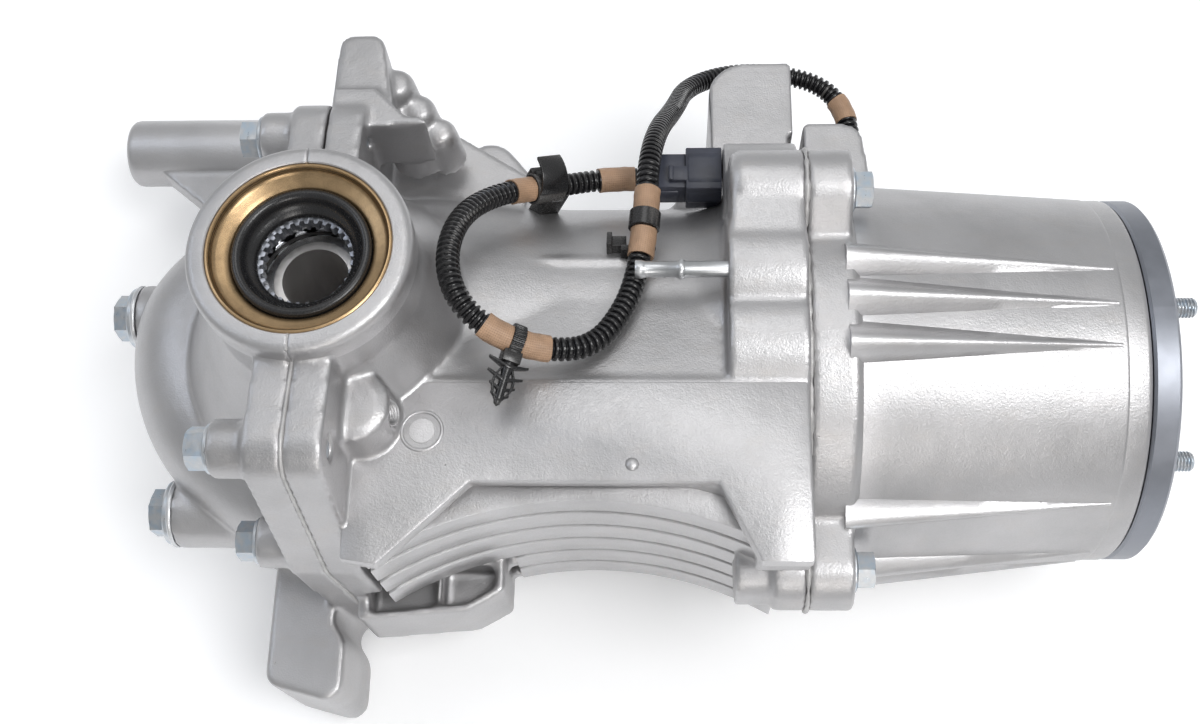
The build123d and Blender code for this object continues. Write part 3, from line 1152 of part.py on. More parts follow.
# Pressure motor in its boss, with the socket that the plug enters
with BuildPart() as actuator_motor:
    extrude(discs(cross_plane(MOTOR_BACK_X), [MOTOR_BOSS], MOTOR_R), amount=JOINT_X - MOTOR_BACK_X - 1)
    extrude(discs(cross_plane(MOTOR_BACK_X + 3), [PLUG_AXIS], SOCKET_R), amount=-7)
finish(actuator_motor.part, "actuator_motor")

# Harness: from the plug round over the housing, behind the front mount pad and down into the coupling case
SOCKET_FACE_X = MOTOR_BACK_X - 4
PLUG_BACK_X = -188.6
GLAND_X = -102.0
GLAND_Z = -2.0
GLAND_TOP = 105.0
GLAND_SEAT = 88.0
ROUTE = [
    (PLUG_BACK_X, PLUG_AXIS[0], PLUG_AXIS[1]), (-208, PLUG_AXIS[0], PLUG_AXIS[1]), (-228, 57.5, 60), (-247, 48, 73), (-259.5, 31, 88),
    (-262.6, 9, 98), (-257.5, -9.5, 101), (-245, -19.5, 95), (-228, -23, 87), (-210, -19.5, 81), (-199, -2.5, 77),
    (-194, 16, 75), (-191.8, 37.5, 76), (-190.8, 60, 75), (-187.6, 82, 62), (-181, 107, 36), (-175.5, 134, 12),
    (-156, 147, 3), (-133, 148.5, 0), (-112, 142, -1), (GLAND_X, 124, GLAND_Z), (GLAND_X, GLAND_TOP, GLAND_Z),
]


def route_radii(points):
    """Arc radius at each corner: as large as the shorter of its two runs allows."""
    radii = []
    for before, here, after in zip(points, points[1:], points[2:]):
        a, b = Vector(*here) - Vector(*before), Vector(*after) - Vector(*here)
        turn = acos(a.dot(b) / (a.length * b.length))
        radii.append(0.45 * min(a.length, b.length) / tan(turn / 2))
    return radii


RADII = route_radii(ROUTE)
print("harness radii", [round(r, 1) for r in RADII])
with BuildPart() as harness_conduit:
    with BuildLine() as route:
        FilletPolyline(*ROUTE, radius=RADII)
    with BuildSketch(Plane(origin=ROUTE[0], z_dir=Vector(*ROUTE[1]) - Vector(*ROUTE[0]))):
        Circle(CONDUIT_R)
    sweep(path=route.line)
print("harness length", sum(e.length for e in route.edges()), harness_conduit.part.volume / (pi * CONDUIT_R**2))
finish(harness_conduit.part, "harness_conduit")

with BuildPart() as connector_plug:
    with BuildSketch(cross_plane(PLUG_BACK_X)):
        with Locations(PLUG_AXIS):
            RectangleRounded(18, 15, 3)
    extrude(amount=-168 - PLUG_BACK_X)
    extrude(discs(cross_plane(-170), [PLUG_AXIS], SOCKET_R + 1.5), amount=BOSS_BACK_X + 170)
    with BuildSketch(cross_plane(PLUG_BACK_X + 6)):
        with Locations((PLUG_AXIS[0], PLUG_AXIS[1] + 8.5)):
            Rectangle(8, 4)
    extrude(amount=12)
    extrude(discs(cross_plane(BOSS_BACK_X - 1), [PLUG_AXIS], SOCKET_R - 0.2), amount=SOCKET_FACE_X - BOSS_BACK_X + 1)
finish(connector_plug.part, "connector_plug")

with BuildPart() as harness_gland:
    extrude(discs(Plane.XZ.offset(-GLAND_SEAT), [(GLAND_X, GLAND_Z)], 7.6), amount=-8)
    extrude(discs(Plane.XZ.offset(-GLAND_SEAT), [(GLAND_X, GLAND_Z)], 5.8), amount=GLAND_SEAT - GLAND_TOP)
    extrude(discs(Plane.XZ.offset(-GLAND_SEAT), [(GLAND_X, GLAND_Z)], 3.95), amount=8)
finish(harness_gland.part, "harness_gland")


def run_plane(index, share):
    """Plane across a run of the harness, at a share of its length."""
    a, b = Vector(*ROUTE[index]), Vector(*ROUTE[index + 1])
    return Plane(origin=a + (b - a) * share, z_dir=b - a)


CLIP_R = CONDUIT_R + 1.8
with BuildPart() as saddle_clip:
    plane = run_plane(2, 0.35)
    extrude(discs(plane, [(0, 0)], CLIP_R), amount=5.5, both=True)
    foot = plane.origin
    with BuildSketch(Plane(origin=(foot.X, foot.Y, 40))):
        RectangleRounded(11, 9, 2)
    extrude(amount=foot.Z - 41)
    with BuildSketch(Plane(origin=(foot.X, foot.Y, foot.Z + CLIP_R - 1.5))):
        Rectangle(13, 6)
    extrude(amount=3.5)
    add(harness_conduit.part, mode=Mode.SUBTRACT)
    add(main_housing.part, mode=Mode.SUBTRACT)
print("saddle clip", len(saddle_clip.part.solids()), saddle_clip.part.volume)
finish(saddle_clip.part, "saddle_clip")

with BuildPart() as round_base_clip:
    plane = run_plane(11, 0.6)
    foot = plane.origin
    outward = Vector(0, foot.Y, foot.Z)
    base = Plane(origin=(foot.X, 0, 0), z_dir=outward)
    extrude(discs(plane, [(0, 0)], CLIP_R), amount=4, both=True)
    extrude(discs(base.offset(NECK_R - 4), [(0, 0)], 9), amount=6.5)
    extrude(discs(base.offset(NECK_R), [(0, 0)], 3.2), amount=outward.length - NECK_R - CONDUIT_R + 1)
    add(harness_conduit.part, mode=Mode.SUBTRACT)
    add(main_housing.part, mode=Mode.SUBTRACT)
print("round base clip", len(round_base_clip.part.solids()), round_base_clip.part.volume)
finish(round_base_clip.part, "round_base_clip")

with BuildPart() as fir_tree_clip:
    plane = run_plane(7, 0.5)
    foot = plane.origin
    extrude(discs(plane, [(0, 0)], CONDUIT_R + 1.4), amount=3, both=True)
    stem = Plane(origin=foot, z_dir=(-0.25, -1, -0.05))
    extrude(discs(stem, [(0, 0)], 1.6), amount=24)
    for depth, radius in ((7.5, 7.5), (12.5, 5.2), (16, 4.6), (19.5, 4.0)):
        extrude(discs(stem.offset(depth), [(0, 0)], radius), amount=1.3)
    add(harness_conduit.part, mode=Mode.SUBTRACT)
print("fir tree clip", len(fir_tree_clip.part.solids()), fir_tree_clip.part.volume)
finish(fir_tree_clip.part, "fir_tree_clip")
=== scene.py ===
"""Looks of the rear drive unit: castings, fasteners, seals, wiring lead, lights and camera."""

from __future__ import annotations

import json
import logging
import math
from dataclasses import dataclass, field
from enum import Enum
from typing import Callable, Optional, Sequence

import bmesh
import bpy
import numpy as np
from mathutils import Matrix, Vector

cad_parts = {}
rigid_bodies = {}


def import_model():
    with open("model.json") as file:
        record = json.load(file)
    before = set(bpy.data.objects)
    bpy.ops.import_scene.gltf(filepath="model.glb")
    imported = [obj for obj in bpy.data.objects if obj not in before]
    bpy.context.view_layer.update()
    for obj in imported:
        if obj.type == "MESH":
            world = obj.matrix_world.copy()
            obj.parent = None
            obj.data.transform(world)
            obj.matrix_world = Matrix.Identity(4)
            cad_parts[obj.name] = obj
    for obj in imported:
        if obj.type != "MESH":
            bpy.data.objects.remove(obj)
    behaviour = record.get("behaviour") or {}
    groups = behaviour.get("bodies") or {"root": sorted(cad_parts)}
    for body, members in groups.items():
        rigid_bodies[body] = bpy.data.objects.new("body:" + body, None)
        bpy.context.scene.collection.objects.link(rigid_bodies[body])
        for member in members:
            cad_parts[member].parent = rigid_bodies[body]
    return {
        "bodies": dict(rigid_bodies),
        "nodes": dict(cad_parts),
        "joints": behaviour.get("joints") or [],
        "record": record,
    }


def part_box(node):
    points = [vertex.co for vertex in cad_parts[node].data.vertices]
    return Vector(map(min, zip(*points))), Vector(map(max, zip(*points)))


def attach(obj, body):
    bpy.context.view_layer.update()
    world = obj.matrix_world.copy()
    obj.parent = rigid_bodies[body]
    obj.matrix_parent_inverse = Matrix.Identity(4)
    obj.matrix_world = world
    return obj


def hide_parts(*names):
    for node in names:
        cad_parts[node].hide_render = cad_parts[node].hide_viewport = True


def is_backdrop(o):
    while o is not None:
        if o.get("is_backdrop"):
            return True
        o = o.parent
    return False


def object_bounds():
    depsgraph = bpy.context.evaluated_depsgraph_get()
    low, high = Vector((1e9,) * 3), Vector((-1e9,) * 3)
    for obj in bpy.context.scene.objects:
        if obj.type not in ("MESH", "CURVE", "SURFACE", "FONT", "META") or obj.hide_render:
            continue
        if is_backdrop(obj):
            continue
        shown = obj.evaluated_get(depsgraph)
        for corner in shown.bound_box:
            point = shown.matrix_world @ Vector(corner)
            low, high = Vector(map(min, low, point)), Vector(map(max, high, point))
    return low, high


LOG = logging.getLogger("rear_drive_unit")
MM = 0.001
Colour = tuple[float, float, float]
Point = tuple[float, float, float]
Corner = tuple[float, float]
Corners = Sequence[Corner]
Outline = tuple[Corner, ...]
Bend = Callable[[float, float, float], Corner]
Draw = Callable[["Shape"], None]
Socket = bpy.types.NodeSocket
Piece = bpy.types.Object

ORIGIN: Point = (0, 0, 0)
FORWARDS: Point = (1, 0, 0)
UPWARDS: Point = (0, 0, 1)

# Stations of the casting's faces and axes, in millimetres.
AXLE_X = -308.0
JOINT_X = -133.0
CASE_FACE_X = -12.0
PORTS: tuple[tuple[float, Point], ...] = ((124.0, (0, 0, 1)), (-92.0, (0, 0, -1)))

# Corners nearer than this are one corner, in metres.
JOIN = 0.002 * MM


class Body(Enum):
    """Rigid bodies that pieces ride on."""

    HOUSING = "housing"
    INPUT = "input"


class Slot(Enum):
    """Material slots of the record."""

    CAST = "cast_aluminium"
    ZINC = "zinc_steel"
    MACHINED = "machined_steel"
    BEARING = "bearing_steel"
    DARK = "dark_steel"
    SEAL_CASE = "seal_case"
    RUBBER = "rubber"
    GASKET = "gasket"
    FRICTION = "friction"
    CONDUIT = "conduit"
    CLIP = "clip"
    CONNECTOR = "connector"


class Turning(Enum):
    """Axis that turned marks run round."""

    AXLE = "Z"
    INPUT = "X"


def arithmetic(tree: bpy.types.NodeTree, operation: str, first: Socket,
               second: Socket | float | None = None) -> Socket:
    """Adds a math node to a tree.

    Args:
        tree: A shader tree or a geometry tree.
        operation: Name of the operation, such as ADD.
        first: First value.
        second: Second value, a socket or a number, or None where one value is enough.

    Returns:
        The result's socket.
    """
    node = tree.nodes.new("ShaderNodeMath")
    node.operation = operation
    tree.links.new(first, node.inputs[0])
    if isinstance(second, Socket):
        tree.links.new(second, node.inputs[1])
    elif second is not None:
        node.inputs[1].default_value = second
    return node.outputs[0]


class ShaderTree:
    """Node tree of one material, written a few nodes at a time."""

    def __init__(self, name: str) -> None:
        """Starts a material.

        Args:
            name: Name of the material.
        """
        self.material = bpy.data.materials.new(name)
        self.material.use_nodes = True
        self.nodes = self.material.node_tree.nodes
        self.links = self.material.node_tree.links
        self.surface = self.nodes["Principled BSDF"]
        self.place = self.nodes.new("ShaderNodeTexCoord").outputs["Object"]
        self.relief: Optional[Socket] = None

    def constant(self, socket: str, value: float) -> None:
        """Sets a value on the surface shader's own socket."""
        self.surface.inputs[socket].default_value = value

    def drive(self, socket: str, source: Socket) -> None:
        """Joins a source to one of the surface shader's sockets."""
        self.links.new(source, self.surface.inputs[socket])

    def moved(self, shift: Point = (0, 0, 0), scale: Point = (1, 1, 1)) -> Socket:
        """Object coordinates, moved and then stretched.

        Args:
            shift: Amount added to each coordinate, in metres.
            scale: Stretch along each axis.

        Returns:
            The coordinates' socket.
        """
        node = self.nodes.new("ShaderNodeMapping")
        node.inputs["Location"].default_value = [a * b for a, b in zip(shift, scale)]
        node.inputs["Scale"].default_value = scale
        self.links.new(self.place, node.inputs["Vector"])
        return node.outputs["Vector"]

    def noise(self, scale: float, detail: float = 3.0, rough: float = 0.5,
              place: Optional[Socket] = None) -> Socket:
        """Cloudy noise between 0 and 1.

        Args:
            scale: Lumps per metre.
            detail: Number of finer layers.
            rough: Weight of the finer layers.
            place: Coordinates to read, or None for the object's own.

        Returns:
            The noise value's socket.
        """
        node = self.nodes.new("ShaderNodeTexNoise")
        node.inputs["Scale"].default_value = scale
        node.inputs["Detail"].default_value = detail
        node.inputs["Roughness"].default_value = rough
        self.links.new(place or self.place, node.inputs["Vector"])
        return node.outputs["Fac"]

    def cells(self, scale: float, place: Optional[Socket] = None) -> Socket:
        """Distance from the nearest of many scattered points.

        Args:
            scale: Points per metre.
            place: Coordinates to read, or None for the object's own.

        Returns:
            The distance's socket.
        """
        node = self.nodes.new("ShaderNodeTexVoronoi")
        node.inputs["Scale"].default_value = scale
        self.links.new(place or self.place, node.inputs["Vector"])
        return node.outputs["Distance"]

    def wave(self, scale: float, direction: str, rings: bool = False, warp: float = 0.0,
             place: Optional[Socket] = None) -> Socket:
        """Even bands, or rings round an axis.

        Args:
            scale: Density of the bands.
            direction: Axis across the bands, or round which the rings run.
            rings: True for rings.
            warp: How far the bands wander.
            place: Coordinates to read, or None for the object's own.

        Returns:
            The wave value's socket.
        """
        node = self.nodes.new("ShaderNodeTexWave")
        node.wave_type = "RINGS" if rings else "BANDS"
        setattr(node, "rings_direction" if rings else "bands_direction", direction)
        node.inputs["Scale"].default_value = scale
        node.inputs["Distortion"].default_value = warp
        self.links.new(place or self.place, node.inputs["Vector"])
        return node.outputs["Fac"]

    def sum(self, operation: str, first: Socket, second: Socket | float) -> Socket:
        """Two values put together by a named operation."""
        return arithmetic(self.material.node_tree, operation, first, second)

    def span(self, source: Socket, low: float, high: float, start: float = 0.0, end: float = 1.0) -> Socket:
        """A value moved from one range to another and held inside it.

        Args:
            source: The value.
            low: Value that becomes start.
            high: Value that becomes end.
            start: Lower result.
            end: Upper result.

        Returns:
            The result's socket.
        """
        node = self.nodes.new("ShaderNodeMapRange")
        for index, value in enumerate((low, high, start, end), 1):
            node.inputs[index].default_value = value
        self.links.new(source, node.inputs[0])
        return node.outputs[0]

    def ramp(self, source: Socket, stops: Sequence[tuple[float, Colour]]) -> Socket:
        """Colours by value.

        Args:
            source: The value.
            stops: Places and colours, from the lowest place up.

        Returns:
            The colour's socket.
        """
        node = self.nodes.new("ShaderNodeValToRGB")
        elements = node.color_ramp.elements
        for element, (place, colour) in ((elements[0], stops[0]), (elements[1], stops[-1])):
            element.position = place
            element.color = (*colour, 1)
        for place, colour in stops[1:-1]:
            elements.new(place).color = (*colour, 1)
        self.links.new(source, node.inputs["Fac"])
        return node.outputs["Color"]

    def tint(self, amount: Socket, under: Socket, colour: Colour) -> Socket:
        """A colour laid over another by an amount.

        Args:
            amount: Share of the new colour.
            under: Colour below.
            colour: Colour on top.

        Returns:
            The mixed colour's socket.
        """
        node = self.nodes.new("ShaderNodeMix")
        node.data_type = "RGBA"
        self.links.new(amount, node.inputs[0])
        self.links.new(under, node.inputs[6])
        node.inputs[7].default_value = (*colour, 1)
        return node.outputs[2]

    def edges(self, low: float, high: float) -> Socket:
        """Share from how pointed the mesh is there: wear on outer edges, or painted shade in hollows where
        the range runs the other way.
        """
        geometry = self.nodes.new("ShaderNodeNewGeometry")
        return self.span(geometry.outputs["Pointiness"], low, high)

    def bump(self, height: Socket, depth: float) -> None:
        """Adds relief of a depth in metres to the surface.

        Args:
            height: Value of the height.
            depth: Depth of the relief, in metres.
        """
        node = self.nodes.new("ShaderNodeBump")
        node.inputs["Strength"].default_value = 1.0
        node.inputs["Distance"].default_value = depth
        self.links.new(height, node.inputs["Height"])
        if self.relief:
            self.links.new(self.relief, node.inputs["Normal"])
        self.relief = node.outputs["Normal"]

    def close(self) -> bpy.types.Material:
        """Joins the relief to the surface and gives the material.

        Returns:
            The material.
        """
        if self.relief:
            self.drive("Normal", self.relief)
        return self.material


def shade(colour: Colour, factor: float) -> Colour:
    """A colour made lighter or darker by a factor."""
    return tuple(min(1.0, channel * factor) for channel in colour)


@dataclass(frozen=True)
class Finish:
    """A surface finish with one material, made when it is first asked for."""

    name: str
    slot: Slot
    colour: Colour
    metallic: float
    roughness: float

    def material(self) -> bpy.types.Material:
        """The finish's material.

        Returns:
            The material, made when it is first asked for.
        """
        known = bpy.data.materials.get(self.name)
        if known:
            return known
        tree = ShaderTree(self.name)
        tree.constant("Metallic", self.metallic)
        self.paint(tree)
        return tree.close()

    def paint(self, tree: ShaderTree) -> None:
        """Writes colour and roughness.

        Args:
            tree: The material's node tree.
        """
        tree.drive("Base Color", self.shades(tree, tree.noise(60), (0.3, 0.9), (0.7, 1.0)))
        self.gloss(tree, tree.noise(240), (0, 1), (-0.06, 0.06))

    def shades(self, tree: ShaderTree, source: Socket, *stops: Corner) -> Socket:
        """The finish's colour, darker and lighter by a value.

        Args:
            tree: The material's node tree.
            source: The value.
            stops: Places and factors of the colour, from the lowest place up.

        Returns:
            The colour's socket.
        """
        return tree.ramp(source, [(place, shade(self.colour, factor)) for place, factor in stops])

    def gloss(self, tree: ShaderTree, source: Socket, values: Corner, change: Corner) -> None:
        """Lets the roughness follow a value.

        Args:
            tree: The material's node tree.
            source: The value.
            values: Its range.
            change: What is added to the finish's own roughness at either end of the range.
        """
        rough = (self.roughness + change[0], self.roughness + change[1])
        tree.drive("Roughness", tree.span(source, *values, *rough))


@dataclass(frozen=True)
class CastFinish(Finish):
    """Sand-cast and blasted metal: fine grain, soft clouds, bright edges, painted shade in hollows and a few
    pits.
    """

    grain: float = 1500.0
    depth: float = 0.00011
    stain: Colour = (0.47, 0.445, 0.425)

    def paint(self, tree: ShaderTree) -> None:
        """Writes the blasted surface.

        Args:
            tree: The material's node tree.
        """
        base = self.shades(tree, tree.noise(26, 4, 0.55), (0.28, 0.86), (0.5, 1.0), (0.72, 1.1))
        flow = tree.noise(75, 5, 0.65, tree.moved(scale=(1, 2.2, 1)))
        warm = tree.tint(tree.span(flow, 0.52, 0.78, 0, 0.4), base, self.stain)
        rubbed = tree.tint(tree.sum("MULTIPLY", tree.edges(0.53, 0.62), 0.75), warm, shade(self.colour, 1.45))
        # Painted shade: the colour is darkened to half in hollows, where the mesh is least pointed.
        dust_and_hollow_shade = tree.tint(tree.sum("MULTIPLY", tree.edges(0.47, 0.38), 0.35), rubbed, shade(self.colour, 0.5))
        tree.drive("Base Color", dust_and_hollow_shade)
        fine = tree.noise(self.grain, 2, 0.6)
        self.gloss(tree, fine, (0.25, 0.75), (-0.09, 0.09))
        tree.bump(tree.noise(120, 3, 0.5), self.depth * 1.6)
        tree.bump(tree.noise(520, 2, 0.5), self.depth * 0.5)
        tree.bump(fine, self.depth * 0.9)
        tree.bump(tree.span(tree.cells(60), 0.008, 0.03), self.depth * 1.5)


@dataclass(frozen=True)
class PlatedFinish(Finish):
    """Zinc-plated steel: bluish clouds, fine scratches and worn corners."""

    blue: Colour = (0.42, 0.49, 0.56)
    scratch: float = 0.00003

    def paint(self, tree: ShaderTree) -> None:
        """Writes the plated surface.

        Args:
            tree: The material's node tree.
        """
        stops = [(0.35, self.blue), (0.6, self.colour), (0.8, shade(self.colour, 1.15))]
        base = tree.ramp(tree.noise(300, 4), stops)
        tree.drive("Base Color", tree.tint(tree.edges(0.53, 0.6), base, shade(self.colour, 1.35)))
        marks = tree.noise(900, 4, 0.6, tree.moved(scale=(1, 0.2, 1)))
        self.gloss(tree, marks, (0.3, 0.7), (-0.07, 0.12))
        tree.bump(marks, self.scratch)


@dataclass(frozen=True)
class TurnedFinish(Finish):
    """Turned or ground steel with fine rings round its axis."""

    turning: Turning = Turning.AXLE
    centre: Point = (-AXLE_X * MM, 0.0, 0.0)
    pitch: float = 1300.0
    groove: float = 0.000012

    def paint(self, tree: ShaderTree) -> None:
        """Writes the turned surface.

        Args:
            tree: The material's node tree.
        """
        rings = tree.wave(self.pitch, self.turning.value, True, 1.5, tree.moved(self.centre))
        cloud = tree.noise(130, 4, 0.6)
        base = self.shades(tree, cloud, (0.3, 0.78), (0.7, 1.08))
        tree.drive("Base Color", tree.tint(tree.edges(0.53, 0.6), base, shade(self.colour, 1.4)))
        self.gloss(tree, tree.sum("MULTIPLY", rings, cloud), (0, 0.6), (-0.05, 0.1))
        tree.bump(rings, self.groove)


@dataclass(frozen=True)
class MouldedFinish(Finish):
    """Moulded plastic or rubber: faint grain, clouds of dust and rubbed corners."""

    dust: Colour = (0.16, 0.15, 0.14)
    dusting: float = 0.12
    grain: float = 0.00003

    def paint(self, tree: ShaderTree) -> None:
        """Writes the moulded surface.

        Args:
            tree: The material's node tree.
        """
        haze = tree.noise(120, 5, 0.62)
        base = self.shades(tree, haze, (0.3, 0.8), (0.7, 1.25))
        dust_and_hollow_shade = tree.tint(tree.span(haze, 0.55, 0.8, 0, self.dusting), base, self.dust)
        rubbed = tree.sum("MULTIPLY", tree.edges(0.54, 0.64), 0.25)
        tree.drive("Base Color", tree.tint(rubbed, dust_and_hollow_shade, shade(self.dust, 1.3)))
        fine = tree.noise(1400, 3)
        self.gloss(tree, fine, (0.2, 0.8), (-0.08, 0.1))
        tree.bump(fine, self.grain)


@dataclass(frozen=True)
class TapeFinish(Finish):
    """Cloth tape: a plain weave on the piece's own map, in metres round and along it."""

    thread: float = 0.0008
    relief: float = 0.0001

    def paint(self, tree: ShaderTree) -> None:
        """Writes the woven surface.

        Args:
            tree: The material's node tree.
        """
        layer = tree.nodes.new("ShaderNodeUVMap")
        layer.uv_map = WRAP_MAP
        across, along = (tree.wave(math.pi / (10 * self.thread), axis, place=layer.outputs[0], warp=0.6)
                         for axis in ("X", "Y"))
        weave = tree.sum("MAXIMUM", across, along)
        haze = tree.noise(160, 5, 0.6)
        base = self.shades(tree, haze, (0.3, 0.78), (0.55, 1.0), (0.75, 1.2))
        gaps = tree.span(weave, 0.15, 0.75, 0.5, 0.0)
        tree.drive("Base Color", tree.tint(gaps, base, shade(self.colour, 0.45)))
        self.gloss(tree, weave, (0, 1), (0.15, -0.1))
        tree.bump(weave, self.relief * 0.9)
        tree.bump(tree.noise(500, 3), self.relief)


WRAP_MAP = "Wrap"
CAST = CastFinish("Blasted cast aluminium", Slot.CAST, (0.455, 0.45, 0.455), 0.88, 0.43)
ZINC = PlatedFinish("Zinc plate", Slot.ZINC, (0.50, 0.515, 0.53), 0.95, 0.33)
BRIGHT_TUBE = TurnedFinish("Bright tube", Slot.ZINC, (0.52, 0.53, 0.54), 0.95, 0.36,
                           Turning.INPUT, ORIGIN, 500)
GROUND = TurnedFinish("Ground bearing steel", Slot.BEARING, (0.66, 0.67, 0.69), 1.0, 0.24)
TURNED = TurnedFinish("Turned steel at the axle", Slot.MACHINED, (0.56, 0.545, 0.535), 0.95, 0.36)
TURNED_INPUT = TurnedFinish("Turned steel at the input", Slot.MACHINED, (0.4, 0.4, 0.41), 1.0, 0.32,
                            Turning.INPUT, ORIGIN)
DARK_STEEL = TurnedFinish("Dark phosphated steel", Slot.DARK, (0.21, 0.22, 0.245), 0.92, 0.36,
                          Turning.INPUT, ORIGIN, 700)
DARK_CAGE = MouldedFinish("Blackened cage steel", Slot.DARK, (0.045, 0.045, 0.047), 0.6, 0.4)
GOLD_CASE = TurnedFinish("Yellow passivated case", Slot.SEAL_CASE, (0.42, 0.29, 0.16), 0.92, 0.27)
RUBBER = MouldedFinish("Seal rubber", Slot.RUBBER, (0.012, 0.012, 0.013), 0.0, 0.26, dusting=0.03)
SEALANT = MouldedFinish("Grey sealant", Slot.GASKET, (0.46, 0.455, 0.45), 0.4, 0.45, grain=0.00008)
LINING = MouldedFinish("Friction lining", Slot.FRICTION, (0.11, 0.085, 0.06), 0.0, 0.7, grain=0.00012)
CONDUIT = MouldedFinish("Conduit plastic", Slot.CONDUIT, (0.006, 0.006, 0.007), 0.0, 0.2, dusting=0.03)
CLIP = MouldedFinish("Clip plastic", Slot.CLIP, (0.008, 0.008, 0.009), 0.0, 0.26, dusting=0.04)
PLUG = MouldedFinish("Plug plastic", Slot.CONNECTOR, (0.03, 0.034, 0.05), 0.0, 0.36, (0.12, 0.12, 0.14), 0.15)
TAPE = TapeFinish("Tan cloth tape", Slot.CONDUIT, (0.40, 0.25, 0.155), 0.0, 0.5)

NODE_FINISHES: dict[Finish, tuple[str, ...]] = {
    CAST: ("main_housing", "rear_cover", "coupling_case"),
    ZINC: ("cover_bolts", "case_bolts", "oil_plugs", "plug_washers", "flange_studs", "shaft_nut"),
    BRIGHT_TUBE: ("breather_pipe", "cover_dowels"),
    GOLD_CASE: ("axle_seal_cases", "input_seal_case"),
    RUBBER: ("axle_seal_lips", "input_seal_lip", "harness_gland", "piston_seals"),
    GROUND: (
        "carrier_bearing_cups", "carrier_bearing_cones", "carrier_bearing_rollers", "pinion_bearing_cups",
        "pinion_bearing_cones", "pinion_bearing_rollers", "input_bearing_outer_race",
        "input_bearing_inner_race", "input_bearing_balls", "cross_pin", "cross_pin_lock",
    ),
    DARK_CAGE: ("carrier_bearing_cages", "pinion_bearing_cages"),
    TURNED: (
        "diff_case", "ring_gear", "ring_gear_bolts", "upper_side_gear", "lower_side_gear",
        "spider_gear_front", "spider_gear_rear", "side_gear_washers", "spider_gear_washers",
    ),
    TURNED_INPUT: (
        "pinion_shaft", "pinion_nut", "pinion_spacer", "clutch_hub", "clutch_drum", "companion_flange",
        "pressure_plate", "thrust_bearing", "clutch_piston", "outer_clutch_plates",
    ),
    DARK_STEEL: ("end_ring",),
    LINING: ("inner_clutch_plates",),
    SEALANT: ("cover_gasket", "case_gasket"),
    CONDUIT: ("harness_conduit",),
    CLIP: ("saddle_clip", "round_base_clip", "fir_tree_clip", "actuator_motor"),
    PLUG: ("connector_plug",),
}


def linked(name: str, data: bpy.types.ID) -> Piece:
    """A new object in the scene, at the origin.

    Args:
        name: Name of the object.
        data: Its mesh, curve, light or camera.

    Returns:
        The object.
    """
    piece = bpy.data.objects.new(name, data)
    bpy.context.scene.collection.objects.link(piece)
    return piece


def plain(piece: Piece) -> Piece:
    """Swaps a piece for a plain mesh of what its modifiers make of it.

    Args:
        piece: An object with live modifiers, or a curve.

    Returns:
        The plain object, which keeps the name.
    """
    name = piece.name
    graph = bpy.context.evaluated_depsgraph_get()
    mesh = bpy.data.meshes.new_from_object(piece.evaluated_get(graph), preserve_all_data_layers=True,
                                           depsgraph=graph)
    bpy.data.objects.remove(piece)
    return linked(name, mesh)


def modified(piece: Piece, name: str, kind: str, **settings: object) -> Piece:
    """Puts a piece through one modifier.

    Args:
        piece: The piece.
        name: Name of the modifier.
        kind: Its kind, such as BEVEL.
        settings: Its settings by name.

    Returns:
        The plain piece that comes out.
    """
    modifier = piece.modifiers.new(name, kind)
    for setting, value in settings.items():
        setattr(modifier, setting, value)
    return plain(piece)


def smooth(mesh: bpy.types.Mesh, degrees: float = 35.0) -> None:
    """Shades a mesh smooth, apart from edges sharper than an angle."""
    mesh.shade_smooth()
    mesh.set_sharp_from_angle(angle=math.radians(degrees))


def seat(piece: Piece, body: Body, finish: Finish, *nodes: str) -> Piece:
    """Dresses a piece, puts it on its body and lets it stand for solids.

    Args:
        piece: The piece.
        body: Body that carries it.
        finish: Its finish, given where it has no material yet.
        nodes: Solids that it stands for.

    Returns:
        The piece.
    """
    if not piece.data.materials:
        piece.data.materials.append(finish.material())
    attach(piece, body.value)
    if nodes:
        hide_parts(*nodes)
    LOG.info("%s: %d faces on %s", piece.name, len(piece.data.polygons), body.value)
    return piece


